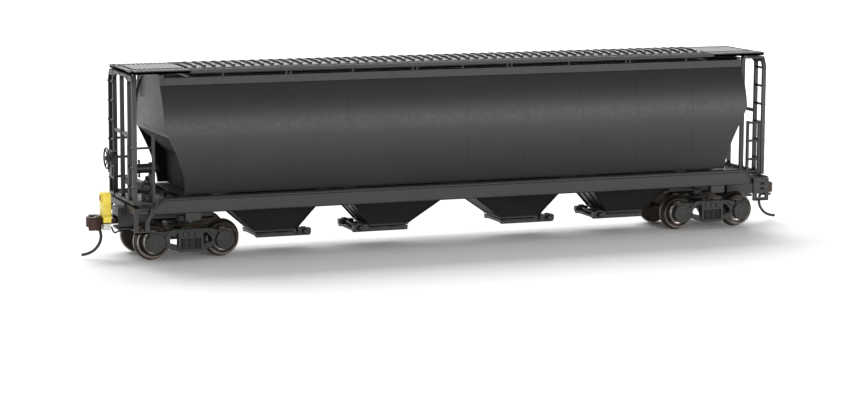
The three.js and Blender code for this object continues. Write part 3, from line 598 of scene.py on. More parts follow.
def roof_walkway():
    shape = Shape()
    inner_y = HATCH_Y + 1
    end_x = HATCH_X + 1
    board_z = (WALK_Z0 + 0.35, WALK_Z1 - 0.25)
    slat_pitch = 1.25
    slats = int(2 * end_x / slat_pitch)
    post_places = (0, 14.3, 15.6, 34.2, 53.1, 54.4, 73.3)
    for side in (-1, 1):
        # fascia, a raised edge on each side of the board, and cross slats between
        shape.box((-WALK_X, WALK_X), span(side, WALK_Y - 0.45, WALK_Y), (WALK_Z0, WALK_Z1 - 0.1))
        shape.box((-end_x, end_x), span(side, inner_y, inner_y + 0.4), (WALK_Z0, WALK_Z1 - 0.1))
        shape.box((-WALK_X, WALK_X), span(side, inner_y, WALK_Y - 0.3), (WALK_Z0 + 0.1, board_z[1] - 0.2))
        for i in range(slats + 1):
            x = (i - slats / 2) * slat_pitch
            shape.box((x - 0.36, x + 0.36), span(side, inner_y + 0.3, WALK_Y - 0.4), board_z)
        for y in (inner_y + 0.9, (inner_y + WALK_Y) / 2, WALK_Y - 0.95):
            shape.box((-end_x, end_x), span(side, y - 0.14, y + 0.14), (WALK_Z0 + 0.3, WALK_Z1))
        for place in post_places:
            for x in {place, -place}:
                y = side * (WALK_Y - 0.6)
                shape.box((x - 0.35, x + 0.35), (y - 0.35, y + 0.35), (ROOF_Z + 0.1, WALK_Z0 + 0.2))
                shape.bolt((x, y + side * 0.35, ROOF_Z + 0.75), "y", side, 0.26, 0.22)
    for end in (-1, 1):
        platform = span(end, end_x, WALK_X)
        shape.box(platform, (-WALK_Y, WALK_Y), (WALK_Z0, WALK_Z1 - 0.35))
        smooth = span(end, end_x + 0.2, WALK_X - 2.2)
        shape.prism("z", rounded(smooth, (-HATCH_Y, HATCH_Y), 0.5), (WALK_Z1 - 0.5, WALK_Z1))
        shape.box(span(end, WALK_X - 0.5, WALK_X), (-WALK_Y, WALK_Y), (WALK_Z0, WALK_Z1 - 0.1))
        for i in range(13):
            x = end * (end_x + 0.9 + 1.35 * i)
            for side in (-1, 1):
                run = span(side, HATCH_Y + 0.5, WALK_Y - 0.5)
                shape.box((x - 0.4, x + 0.4), run, (WALK_Z1 - 0.5, WALK_Z1 - 0.1))
    return shape.stand_for("roof_walkway", bevel=0.09)


# ---- underframe
def sill_section(side, top):
    """A channel with a bead along its foot and a rounded top edge."""
    inner = FRAME_Y - 1.2
    low = [(inner, SILL_Z0), (FRAME_Y - 0.25, SILL_Z0), (FRAME_Y, SILL_Z0 + 0.25), (FRAME_Y, SILL_Z0 + 0.75)]
    web = [(FRAME_Y - 0.12, SILL_Z0 + 0.9), (FRAME_Y - 0.12, top - 1.05)]
    high = [*arc((FRAME_Y - 0.75, top - 0.8), 0.8, 0, 90, 5), (inner, top)]
    return [(side * y, z) for y, z in [*low, *web, *high]]


def add_side_sill(shape, side):
    """A side sill, stepping down to the end sill near each end."""
    stations = [(FRAME_X, END_SILL_Z1), (95.0, END_SILL_Z1), (91.8, SILL_Z1)]
    line = [*stations, *[(-x, z) for x, z in reversed(stations)]]
    shape.skin([[(x, y, z) for y, z in sill_section(side, top)] for x, top in line])


def add_frame_end(shape, end):
    """One end of the underframe; end is -1 or 1."""

    def block(x, y, z):
        shape.box(span(end, x[0], x[1]), y, z)

    inner, centre = FRAME_Y - 1.0, 2.2
    bolster, middle, draught = (80.7, 87.0), (71.0, 99.5), (73.5, 93.0)
    block((99.0, FRAME_X), (-FRAME_Y, FRAME_Y), (SILL_Z0, END_SILL_Z1))
    block((98.6, FRAME_X), (-FRAME_Y, FRAME_Y), (END_SILL_Z1 - 0.45, END_SILL_Z1))
    block((86.5, 99.5), (-inner, inner), (15.6, END_SILL_Z1 - 0.15))
    for y in (-9.0, -4.6, 4.6, 9.0):
        block((86.5, 99.2), (y - 0.35, y + 0.35), (14.6, 15.8))
    for side in (-1, 1):
        block(middle, span(side, 1.3, centre), (13.2, 16.2))
        # bolster: two webs, side bearings below them and a top plate out to the sills
        for x in (81.4, 84.4):
            rib = [(2.0, 12.4), (inner, 14.4), (inner, SILL_Z1 - 0.1), (2.0, SILL_Z1 - 0.1)]
            shape.prism("x", [(side * y, z) for y, z in rib], span(end, x, x + 0.7))
        block((81.0, 85.6), span(side, 13.2, FRAME_Y - 0.8), (12.1, 14.5))
        block((81.6, 85.0), span(side, 12.6, FRAME_Y - 0.7), (11.95, 12.6))
        block(bolster, span(side, 2.0, inner), (SILL_Z1 - 0.8, SILL_Z1))
        block((86.5, 87.0), span(side, 2.0, inner), (15.6, SILL_Z1))
        block(draught, span(side, 1.5, centre), (DRAUGHT_SILL_Z, 13.4))
    block(bolster, (-centre, centre), (SILL_Z1 - 0.8, SILL_Z1))
    block(draught, (-centre, centre), (DRAUGHT_SILL_Z, DRAUGHT_SILL_Z + 0.6))
    block(middle, (-centre, centre), (15.6, 16.3))
    block(bolster, (-5.0, 5.0), (12.0, 15.0))
    boss = [(1.1, 9.6), (2.35, 9.6), (2.6, 9.9), (2.6, 11.4), (3.4, 12.1), (3.4, 12.6), (1.1, 12.6)]
    shape.lathe((end * TRUCK_X, 0, 0), "z", boss, 32)
    # coupler box: walls, roof and a post for the coupler's eye
    block(BOX_X, (-BOX_Y, BOX_Y), (BOX_ROOF_Z - 0.2, 14.7))
    for side in (-1, 1):
        block(BOX_X, span(side, BOX_Y - BOX_WALL, BOX_Y), (BOX_Z0, BOX_ROOF_Z))
    block((BOX_X[0], BOX_X[0] + BOX_WALL), (-BOX_Y, BOX_Y), (BOX_Z0, BOX_ROOF_Z))
    post_z = BOX_Z0 + 0.05
    post = [(0.8, post_z), (1.4, post_z), (1.4, BOX_ROOF_Z), (0.8, BOX_ROOF_Z)]
    shape.lathe((end * COUPLER_PIVOT_X, 0, 0), "z", post, 24)
    striker = both_sides([(5.2, END_SILL_Z1 - 0.2), (5.2, 14.9), (3.9, 13.0), (3.9, 12.5)])
    shape.prism("x", striker, span(end, 99.9, 100.7))


def underframe():
    shape = Shape()
    inner = FRAME_Y - 1.0
    for side in (-1, 1):
        add_side_sill(shape, side)
    cross_bearers = (-39.1, 0.0, 39.1)
    for x in cross_bearers:
        half = 1.8 if x == 0 else 2.1
        shape.box((x - half, x + half), (-inner, inner), (17.4, SILL_Z1))
        for offset in (-half, half - 0.6):
            shape.box((x + offset, x + offset + 0.6), (-inner, inner), (SILL_Z0 + 0.6, 17.6))
    for end in (-1, 1):
        add_frame_end(shape, end)
    return shape.stand_for("underframe", bevel=0.12, sharp=30)


# ---- hopper bays and outlet gates
# drawn at the +X side and swung round to the left end, where every other piece is drawn
BAYS = {
    "inner": {"top": (4.6, 33.2), "foot": (15.0, 27.0), "gate": (15.0, 32.2)},
    "outer": {"top": (44.2, 70.4), "foot": (50.0, 62.0), "gate": (45.4, 62.0)},
}
BAY_TOP_Z, BAY_FOOT_Z = 18.7, 6.1
BAY_TOP_Y, BAY_WAIST_Y, BAY_FOOT_Y = 14.9, 9.4, 6.6
GATE_Z0, GATE_Z1 = 4.5, 5.8
SHAFT_Z = 5.9


def hopper_bay(place, end):
    shape = Shape()
    top, foot = BAYS[place]["top"], BAYS[place]["foot"]

    def level(x, y, z):
        return [(x[0], -y, z), (x[1], -y, z), (x[1], y, z), (x[0], y, z)]

    neck = [level(foot, BAY_FOOT_Y, BAY_FOOT_Z + rise) for rise in (0.2, 0.6)]
    mouth = [level(top, BAY_TOP_Y, z) for z in (BAY_TOP_Z - 0.7, BAY_TOP_Z)]
    shape.skin([*neck, level(top, BAY_WAIST_Y, SILL_Z0), *mouth])
    flange_y = BAY_FOOT_Y + 0.7 / 3
    shape.box((foot[0] - 0.2, foot[1] + 0.2), (-flange_y, flange_y), (BAY_FOOT_Z, BAY_FOOT_Z + 0.4))
    # edge flanges and a middle stiffener down each sloping end sheet
    for top_x, foot_x, out in ((top[0], foot[0], -1), (top[1], foot[1], 1)):
        for share, proud in ((-0.985, 0.45), (-0.33, 0.3), (0.33, 0.3), (0.985, 0.45)):
            rail = []
            for x, y, z in ((foot_x, BAY_FOOT_Y, BAY_FOOT_Z + 0.6), (top_x, BAY_WAIST_Y, SILL_Z0)):
                near, far = share * y - 0.28, share * y + 0.28
                back, face = x - out * 0.2, x + out * proud
                rail.append([(back, near, z), (face, near, z - 0.1), (face, far, z - 0.1), (back, far, z)])
            shape.skin(rail)
    # corner angle along each sloping side edge
    for side in (-1, 1):
        for top_x, foot_x in ((top[0], foot[0]), (top[1], foot[1])):
            low = (foot_x, side * BAY_FOOT_Y, BAY_FOOT_Z + 0.5)
            shape.rod(low, (top_x, side * BAY_WAIST_Y, SILL_Z0 + 0.1), 0.26, 8)
    # the bay's sloping sides take the darker plastic, as painted shade for the shadow under the sills
    shape.refinish(1, lambda c: abs(c.y) > BAY_FOOT_Y and c.z > BAY_FOOT_Z + 0.6)
    shape.half_turn()
    return shape.stand_for(f"hopper_{place}_{end}", ["unpolished_plastic"], bevel=0.1, sharp=25)


def outlet_gate(place, end):
    shape = Shape()
    foot, gate = BAYS[place]["foot"], BAYS[place]["gate"]
    at_far_end = foot[0] == gate[0]
    shaft_x = gate[1] - 2 if at_far_end else gate[0] + 2
    top_flange = (foot[0] - 0.15, foot[1] + 0.15)
    shape.box(top_flange, (-BAY_FOOT_Y, BAY_FOOT_Y), (GATE_Z1 - 0.35, GATE_Z1))
    shape.box(gate, (-BAY_FOOT_Y + 0.9, BAY_FOOT_Y - 0.9), (GATE_Z0 + 0.35, GATE_Z1 - 0.3))
    beyond = (foot[1] + 0.6, gate[1]) if at_far_end else (gate[0], foot[0] - 0.6)
    for side in (-1, 1):
        rail = span(side, BAY_FOOT_Y - 1.1, BAY_FOOT_Y)
        shape.prism("y", rounded(gate, (GATE_Z0, GATE_Z1 - 0.1), 0.3), rail)
        # housing of the operating shaft on the end of the rail, with its capstan
        shape.prism("y", rounded(beyond, (SHAFT_Z - 0.85, SHAFT_Z + 0.85), 0.3), span(side, 5.6, 7.3))
        cover = rounded((shaft_x - 0.6, shaft_x + 0.9), (SHAFT_Z, SHAFT_Z + 1.2), 0.3)
        shape.prism("y", cover, span(side, 5.8, 7.1))
        capstan = [(0, 7.2), (0.8, 7.2), (0.8, 8.2), (0.5, 8.5), (0, 8.5)]
        shape.lathe((shaft_x, 0, SHAFT_Z), "y", capstan, 20, side)
        for i in range(5):
            x = gate[0] + 1.6 + i * (gate[1] - gate[0] - 3.2) / 4
            shape.bolt((x, side * BAY_FOOT_Y, GATE_Z0 + 0.6), "y", side, 0.24, 0.16)
    shape.rod((shaft_x, -7.4, SHAFT_Z), (shaft_x, 7.4, SHAFT_Z), 0.5, 14)
    # rack under the sliding door
    for side in (-1, 1):
        rack = (side * 2.6 - 0.35, side * 2.6 + 0.35)
        teeth = 16
        for i in range(teeth):
            x = gate[0] + 1 + i * (gate[1] - gate[0] - 2) / (teeth - 1)
            shape.box((x - 0.25, x + 0.25), rack, (GATE_Z0 + 0.1, GATE_Z0 + 0.5))
    shape.half_turn()
    return shape.stand_for(f"outlet_gate_{place}_{end}", bevel=0.08)


# ---- cages, ladders and steps, drawn at the -X end
def post_outline(y):
    """A corner post leans in to the walkway at its top; the other posts are straight."""
    w = POST_WIDTH / 2
    if abs(y) != CORNER_Y:
        return [(y - w, CAGE_Z0), (y + w, CAGE_Z0), (y + w, CAGE_Z1), (y - w, CAGE_Z1)]
    s = 1 if y > 0 else -1
    outer = [(y + s * w, CAGE_Z0), (y + s * w, 50.4), (s * (WALK_Y - 0.1), CAGE_Z1)]
    return [(y - s * w, CAGE_Z0), *outer, (s * (WALK_Y - 0.9), CAGE_Z1), (y - s * w, 50.0)]


def add_gussets(shape, y, side, x):
    """Round-cornered gussets between a post and the top beam, and a small one at its foot."""
    reach = 1.3
    edge = y + side * POST_WIDTH / 2
    top_z = ARCH_MIDDLE_Z if y == 0 else ARCH_Z
    hollow = arc((edge + side * reach, top_z - reach), reach, 90, 90 + side * 90, 5)
    corner = [(edge, top_z + 0.2), *hollow[::-1], (edge + side * reach, top_z + 0.2)]
    shape.prism("x", corner, (x[0] + 0.2, x[1] - 0.2))
    foot_z = CAGE_Z0 + 0.8
    foot = [(edge, foot_z), (edge + side * 0.9, foot_z), (edge, foot_z + 1)]
    shape.prism("x", foot, (x[0] + 0.3, x[1] - 0.3))


def end_cage(end):
    shape = Shape()
    x0, x1 = -CAGE_X, -CAGE_X + POST_DEPTH
    middle = (x0 + x1) / 2
    arch = [(WALK_Y - 0.5, CAGE_Z1), (WALK_Y - 0.5, ARCH_Z), (STILE_Y, ARCH_Z), (4.2, ARCH_MIDDLE_Z)]
    shape.prism("x", both_sides(arch), (x0, x1))
    shape.box((x0, x1), (-CORNER_Y, CORNER_Y), (CAGE_Z0, CAGE_Z0 + 0.9))
    shape.box((x0 + 0.2, x1 - 0.2), (-STILE_Y, STILE_Y), (35.6, 36.6))
    for y in (-CORNER_Y, -STILE_Y, 0, STILE_Y, CORNER_Y):
        shape.prism("x", post_outline(y), (x0, x1))
        for side in (-1, 1):
            if abs(y) < CORNER_Y:
                add_gussets(shape, y, side, (x0, x1))
    for i, z in enumerate(RUNG_Z):
        spans = [(STILE_Y, CORNER_Y)] if i > 2 else [(STILE_Y, CORNER_Y), (-CORNER_Y, -STILE_Y)]
        for low, high in spans:
            shape.rod((middle, low, z), (middle, high, z), RUNG_RADIUS, 14)
            for y in (low, high):
                shape.bolt((x0, y, z), "x", -1, 0.32, 0.24)
    # handhold from the corner post to the sill post, and the sill post itself
    handhold_z, sill_post = 32.9, (-94.6, -93.8)
    shape.rod((x0 + 0.7, -CORNER_Y, handhold_z), (-94.2, -CORNER_Y, handhold_z), 0.34, 14)
    shape.box(sill_post, (-CORNER_Y - 0.4, -CORNER_Y + 0.4), (CAGE_Z0, 36.6))
    shape.box((x0 + 0.4, sill_post[1]), (-CORNER_Y - 0.3, -CORNER_Y + 0.3), (CAGE_Z0, CAGE_Z0 + 0.6))
    # sill post closer to the tank on the other side, and a bracket hanging above it
    post_x, post_y = -TANK_X - 0.3, 11.9
    shape.box((x0 + 0.4, post_x), (post_y, post_y + 0.7), (CAGE_Z0, CAGE_Z0 + 0.6))
    shape.box((post_x - 0.8, post_x), (post_y, post_y + 0.8), (CAGE_Z0, 36.4))
    shape.box((x0 + 0.4, post_x), (post_y, post_y + 0.8), (CAGE_Z1 - 0.6, CAGE_Z1))
    shape.box((post_x - 0.8, post_x), (post_y, post_y + 0.8), (44.7, CAGE_Z1))
    return shape.stand_for(f"end_cage_{end}", bevel=0.09)


def side_ladder(end):
    shape = Shape()
    x0, x1 = -98.7, -94.0
    heights = [17.6, 21.6, 27.3, 32.9]
    for x in (x0, x1 - POST_WIDTH):
        shape.box((x, x + POST_WIDTH), (CORNER_Y - 0.4, CORNER_Y + 0.4), (CAGE_Z0, heights[-1] + 0.6))
    for z in heights:
        shape.rod((x0 + 0.3, CORNER_Y, z), (x1 - 0.3, CORNER_Y, z), RUNG_RADIUS, 14)
        for x in (x0 + 0.4, x1 - 0.4):
            shape.bolt((x, CORNER_Y + 0.4, z), "y", 1, 0.26, 0.18)
    return shape.stand_for(f"side_ladder_{end}", bevel=0.09)


STEP_Y = (16.7, 17.4)
STEP_TOP_Z = 16.2


def open_step(end):
    """A flat strap: down from the end sill, along as the tread and curving back up to the sill."""
    shape = Shape()
    outer = [(-96.4, 9.5), (-96.4, 10.6), (-96.5, 12.0), (-95.9, 13.4), (-95.2, 14.6), (-95.1, STEP_TOP_Z)]
    inner = [(-96.2, STEP_TOP_Z), (-96.3, 15.0), (-97.1, 13.7), (-97.6, 12.3), (-97.5, 9.9)]
    curve = [p for edge in (outer, inner) for p in smooth_path([(x, 0, z) for x, z in edge], 3)]
    tread = [(-100.9, STEP_TOP_Z), (-100.9, 9.0), (-96.4, 9.0)]
    strap = [*tread, *[(p.x, p.z) for p in curve], (-99.7, 9.9), (-99.7, STEP_TOP_Z)]
    shape.prism("y", strap, (-STEP_Y[1], -STEP_Y[0]))
    shape.box((-100.9, -96.4), (-STEP_Y[1], -STEP_Y[0] + 0.5), (9.0, 9.5))
    for x in (-100.3, -95.7):
        for z in (14.9, 15.8):
            shape.bolt((x, -STEP_Y[1], z), "y", -1, 0.24, 0.16)
    return shape.stand_for(f"open_step_{end}", bevel=0.09)


def plate_step(end):
    shape = Shape()
    holes = [rounded((-98.4, -97.0), (z, z + 0.8), 0.2) for z in (12.4, 14.0)]
    holes = [rounded((-98.9, -96.0), (10.1, 11.5), 0.25), *holes]
    shape.pierced("y", rounded((-100.0, -94.7), (9.1, STEP_TOP_Z), 0.3), holes, STEP_Y)
    shape.box((-99.6, -95.1), (STEP_Y[0] - 0.5, STEP_Y[1]), (9.1, 9.6))
    for x in (-99.4, -95.3):
        for z in (12.2, 15.2):
            shape.bolt((x, STEP_Y[1], z), "y", 1, 0.24, 0.16)
    return shape.stand_for(f"plate_step_{end}", bevel=0.07)


# ---- hand brake and air brake, at the -X end
BRAKE_Y, BRAKE_Z = 4.5, 28.2
BRAKE_WHEEL_X = -103.2
BRAKE_RADIUS = extent("brake_wheel", 1)[1] - BRAKE_Y


def brake_housing():
    shape = Shape()
    back, front = -100.5, extent("brake_housing", 0)[0]
    half = [(2.4, 22.4), (2.9, 25.0), (2.9, 29.2), (1.9, 30.3)]
    body = [(BRAKE_Y + y, z) for y, z in both_sides(half)]
    shape.prism("x", body, (front + 0.45, back))
    bearing = [(0.9, 0), (2.1, 0), (2.1, 0.35), (1.7, 0.6), (0.9, 0.6)]
    shape.lathe((front + 0.6, BRAKE_Y, BRAKE_Z), "x", bearing, 28, -1)
    shape.prism("x", rounded((3.3, 5.7), (22.9, 25.6), 0.5), (front + 0.15, front + 0.6))
    for y, z in ((2.4, 24.0), (6.6, 24.0), (2.4, 29.4), (6.6, 29.4)):
        shape.bolt((front + 0.45, y, z), "x", -1, 0.3, 0.22)
    # release lever
    lever = [(front + 0.3, 6.2, 26.2), (front + 0.25, 7.2, 25.4), (front + 0.25, 7.2, 23.8)]
    shape.tube(lever, 0.2, 8)
    return shape.stand_for("brake_housing", bevel=0.12)


def brake_wheel():
    shape = Shape()
    rim_radius = 0.26
    reach = BRAKE_RADIUS - rim_radius
    rim = circle((BRAKE_Y, BRAKE_Z), reach, 48)
    shape.tube([(BRAKE_WHEEL_X, y, z) for y, z in rim], rim_radius, 10, wrap=True)
    spokes = 6
    for i in range(spokes):
        turn = 2 * math.pi * i / spokes
        way = (math.cos(turn), math.sin(turn))
        points = [
            (BRAKE_WHEEL_X + dish, BRAKE_Y + way[0] * reach * share, BRAKE_Z + way[1] * reach * share)
            for share, dish in ((0.12, 0.35), (0.5, 0.25), (1.0, 0))
        ]
        shape.tube(points, [0.26, 0.2, 0.17], 8)
    hub = [(0, -0.5), (0.5, -0.5), (0.62, -0.3), (0.85, 0), (0.85, 0.6)]
    stem = [(0.6, 0.8), (0.6, 2.4), (0, 2.4)]
    shape.lathe((BRAKE_WHEEL_X, BRAKE_Y, BRAKE_Z), "x", hub + stem, 20)
    return shape.stand_for("brake_wheel", bevel=0)


def capped_cylinder(shape, centre, axis, radius, ends):
    """A pressed cylinder with domed ends and two clamp bands."""
    a, b = ends
    dome = radius * 0.35
    rise = [(0, a), (radius * 0.55, a + dome * 0.12), (radius * 0.9, a + dome * 0.55), (radius, a + dome)]
    fall = [(r, a + b - t) for r, t in reversed(rise)]
    shape.lathe(centre, axis, [*rise, *fall], 32)
    for share in (0.28, 0.72):
        t = a + (b - a) * share
        low, high, inner, outer = t - 0.3, t + 0.3, radius - 0.1, radius + 0.12
        shape.lathe(centre, axis, [(inner, low), (outer, low), (outer, high), (inner, high)], 32)


def brake_cylinder():
    shape = Shape()
    y, z = -4.6, 26.0
    barrel = [(0, -97.6), (1.7, -97.6), (1.7, -96.9), (1.35, -96.8), (1.35, -93.2), (1.7, -93.1)]
    neck = [(1.7, -92.4), (1.3, -92.2), (1.3, -90.9), (0.9, -90.3), (0, -90.2)]
    shape.lathe((0, y, z), "x", barrel + neck, 32)
    shape.rod((-98.4, y, z), (-97.4, y, z), 0.45, 14)
    for i in range(6):
        turn = math.radians(60 * i)
        shape.bolt((-97.6, y + 1.35 * math.cos(turn), z + 1.35 * math.sin(turn)), "x", -1, 0.2, 0.16)
    # slack adjuster lever and the bracket that stands on the deck
    shape.prism("x", rounded((y - 0.5, y + 0.5), (23.4, 28.6), 0.45), (-96.2, -95.8))
    for side_z in (23.9, 28.1):
        shape.bolt((-96.2, y, side_z), "x", -1, 0.28, 0.22)
    shape.box((-93.1, -92.4), (y - 0.6, y + 0.6), (CAGE_Z0, 25.0))
    shape.box((-93.9, -91.6), (y - 1.3, y + 1.3), (CAGE_Z0, CAGE_Z0 + 0.5))
    return shape.stand_for("brake_cylinder", bevel=0.07)


def air_reservoir():
    shape = Shape()
    x, z = -95.4, 20.9
    capped_cylinder(shape, (x, 0, z), "y", 1.5, (-10.0, 10.0))
    for y in (-10.6, 9.9):
        shape.rod((x, y, z), (x, y + 0.7, z), 0.5, 12)
    for y in (-7.1, 7.1):
        shape.box((x - 0.6, x + 0.6), (y - 0.45, y + 0.45), (CAGE_Z0, 20.0))
        shape.box((x - 1.1, x + 1.1), (y - 0.6, y + 0.6), (CAGE_Z0, CAGE_Z0 + 0.4))
    return shape.stand_for("air_reservoir", bevel=0.07)


def control_valve():
    shape = Shape()
    shape.box((-91.9, -89.6), (3.6, 6.8), (CAGE_Z0, 18.2))
    shape.prism("y", rounded((-91.7, -89.8), (18.0, 21.2), 0.5), (3.4, 7.0))
    cap = [(0, 21.0), (0.7, 21.0), (0.7, 22.0), (0.45, 22.3), (0, 22.4)]
    for y in (4.3, 6.1):
        shape.lathe((-90.8, y, 0), "z", cap, 16)
        shape.bolt((-91.7, y, 19.6), "x", -1, 0.35, 0.2)
    return shape.stand_for("control_valve", bevel=0.08)


def brake_pipes():
    """Thin pipes between the valve, the reservoir and the brake cylinder, and the hand brake's chain rod."""
    shape = Shape()
    bends = [
        [(-94.6, 3.0, 20.2), (-93.4, 3.2, 19.4), (-92.2, 3.8, 18.8), (-91.6, 4.2, 18.8)],
        [(-90.8, 4.3, 22.2), (-90.9, 3.0, 24.0), (-91.0, -1.0, 25.4), (-91.3, -3.6, 25.9)],
        [(-101.3, BRAKE_Y, 22.6), (-101.2, BRAKE_Y, 20.0), (-101.0, BRAKE_Y, 17.0)],
    ]
    for bend in bends:
        shape.tube(smooth_path(bend, 6), 0.24, 8)
    return shape.piece("brake_pipes", "car_body", ["body_plastic"], bevel=0, slot="body_plastic")


def smooth_path(points, steps):
    """A Catmull-Rom line through the points."""
    line = [Vector(p) for p in points]
    line = [2 * line[0] - line[1], *line, 2 * line[-1] - line[-2]]
    made = []
    for a, b, c, d in zip(line, line[1:], line[2:], line[3:]):
        for i in range(steps):
            t = i / steps
            bend, twist = 2 * a - 5 * b + 4 * c - d, 3 * b - 3 * c + d - a
            made.append(0.5 * (2 * b + (c - a) * t + bend * t * t + twist * t**3))
    return [*made, line[-2]]


# ---- trucks
# drawn with the swivel at x = 0, then moved to the -X end
HALF_BASE = WHEELBASE / 2
SIDE_Y = (10.7, 12.0)
JOURNAL_Y = 12.7
JOURNAL_RADIUS = 2.9


def side_frame_outline():
    """The cast side frame: an arched top, a journal end at each axle and a dipped bottom."""
    foot = [(2.6, 2.55), (4.4, 3.0), (HALF_BASE - 2.6, 4.1), (HALF_BASE, 3.4), (HALF_BASE + 2.6, 4.4)]
    top = [(HALF_BASE + 2.7, 6.9), (HALF_BASE + 1.4, 8.35), (HALF_BASE - 1.6, 8.2), (6.6, 8.75), (4.9, 9.1)]
    return both_sides(foot + top)


def side_window(s):
    """The triangular opening between the spring group and a journal."""
    inner, outer = 3.7, HALF_BASE - 3.7
    low = [(inner, 4.5), (outer - 0.3, 5.2), (outer, 5.7)]
    high = [(outer - 0.3, 6.5), (5.0, 7.7), (4.1, 7.8), (inner, 7.4)]
    return [(s * x, z) for x, z in low + high]


def add_bearing(shape, x, side):
    """A roller bearing: adapter, outer race and end cap with three cap screws."""
    shape.box((x - 1.9, x + 1.9), span(side, 11.0, 12.4), (7.4, 8.7))
    depth = JOURNAL_Y - SIDE_Y[0]
    race = [(0, 1.2), (1.45, 1.0), (1.5, 0), (JOURNAL_RADIUS, 0), (JOURNAL_RADIUS, 1.5)]
    cap = [(JOURNAL_RADIUS - 0.3, depth), (1.9, depth), (1.8, depth - 0.1), (0, depth - 0.1)]
    shape.lathe((x, side * SIDE_Y[0], WHEEL_Z), "y", race + cap, 36, side)
    for k in range(3):
        turn = math.radians(90 + 120 * k)
        place = (x + 1.05 * math.cos(turn), side * (JOURNAL_Y - 0.1), WHEEL_Z + 1.05 * math.sin(turn))
        shape.bolt(place, "y", side, 0.26, 0.12)


def add_side_frame(shape, side):
    shape.pierced("y", side_frame_outline(), [side_window(s) for s in (-1, 1)], span(side, *SIDE_Y))
    axle = HALF_BASE
    rib = [(3.3, 8.1), (5.2, 8.4), (axle - 2.9, 7.0), (axle - 2.9, 7.7), (5.6, 9.0), (3.3, 9.0)]
    strut = [(3.0, 2.8), (4.4, 3.1), (axle - 3.0, 4.5), (axle - 3.2, 5.3), (4.0, 3.9), (3.0, 3.6)]
    for s in (-1, 1):
        # raised ribs of the casting, above and below the window
        shape.prism("y", [(s * x, z) for x, z in rib], span(side, 11.8, 12.45))
        shape.prism("y", [(s * x, z) for x, z in strut], span(side, 11.8, 12.3))
        add_bearing(shape, s * axle, side)
    # spring seat, coil springs and the bolster end over them
    shape.box((-3.1, 3.1), span(side, 10.9, 12.75), (2.55, 3.35))
    for x in (-1.95, 0.0, 1.95):
        add_coil(shape, (x, side * 11.95), 3.2, 6.5, 0.62, 0.2)
    shape.box((-3.0, 3.0), span(side, 11.0, 12.8), (6.4, 6.95))
    shape.prism("y", rounded((-3.0, 3.0), (6.6, 8.9), 0.35), span(side, 11.2, 12.55))
    for x in (-1.75, 0, 1.75):
        pocket = rounded((x - 0.55, x + 0.55), (7.15, 8.35), 0.2)
        shape.prism("y", pocket, span(side, 12.4, 12.9))
    for x in (-3.3, 3.3):
        shape.box((x - 0.35, x + 0.35), span(side, 11.0, 12.6), (2.8, 8.9))


def add_coil(shape, centre, low, high, radius, wire):
    """A coil spring, standing up."""
    turns, steps = 5, 14
    total = turns * steps
    points = []
    for i in range(total + 1):
        t = 2 * math.pi * i / steps
        z = low + wire + (high - low - 2 * wire) * i / total
        points.append((centre[0] + radius * math.cos(t), centre[1] + radius * math.sin(t), z))
    shape.tube(points, wire, 7)


def truck_frame(end):
    shape = Shape()
    for side in (-1, 1):
        add_side_frame(shape, side)
    bolster = [(-2.6, 6.6), (2.6, 6.6), (2.6, 8.2), (2.0, 8.6), (-2.0, 8.6), (-2.6, 8.2)]
    shape.prism("y", bolster, (-11.0, 11.0))
    plate = [(1.2, 7.0), (2.8, 7.0), (3.4, 8.4), (3.4, 9.1), (3.2, 9.3), (1.2, 9.3)]
    shape.lathe((0, 0, 0), "z", plate, 36)
    for y in (-7.0, 7.0):
        shape.box((-1.4, 1.4), (y - 1.2, y + 1.2), (8.4, 9.1))
    shape.shift(-TRUCK_X)
    return shape.stand_for(f"truck_frame_{end}", bevel=0.09)


def axle_x(row):
    return -TRUCK_X + (-1 if row == "outer" else 1) * HALF_BASE


def axle(row, end):
    shape = Shape()
    journal = [(0, 11.4), (0.3, 11.25), (0.98, 10.4), (1.0, 10.2), (1.0, 7.4)]
    half = [*journal, (0.8, 6.8), (0.8, 0.6), (1.25, 0.5)]
    profile = [*[(r, -t) for r, t in half], *reversed(half)]
    shape.lathe((axle_x(row), 0, WHEEL_Z), "y", profile, 24)
    return shape.stand_for(f"axle_{row}_{end}", bevel=0)


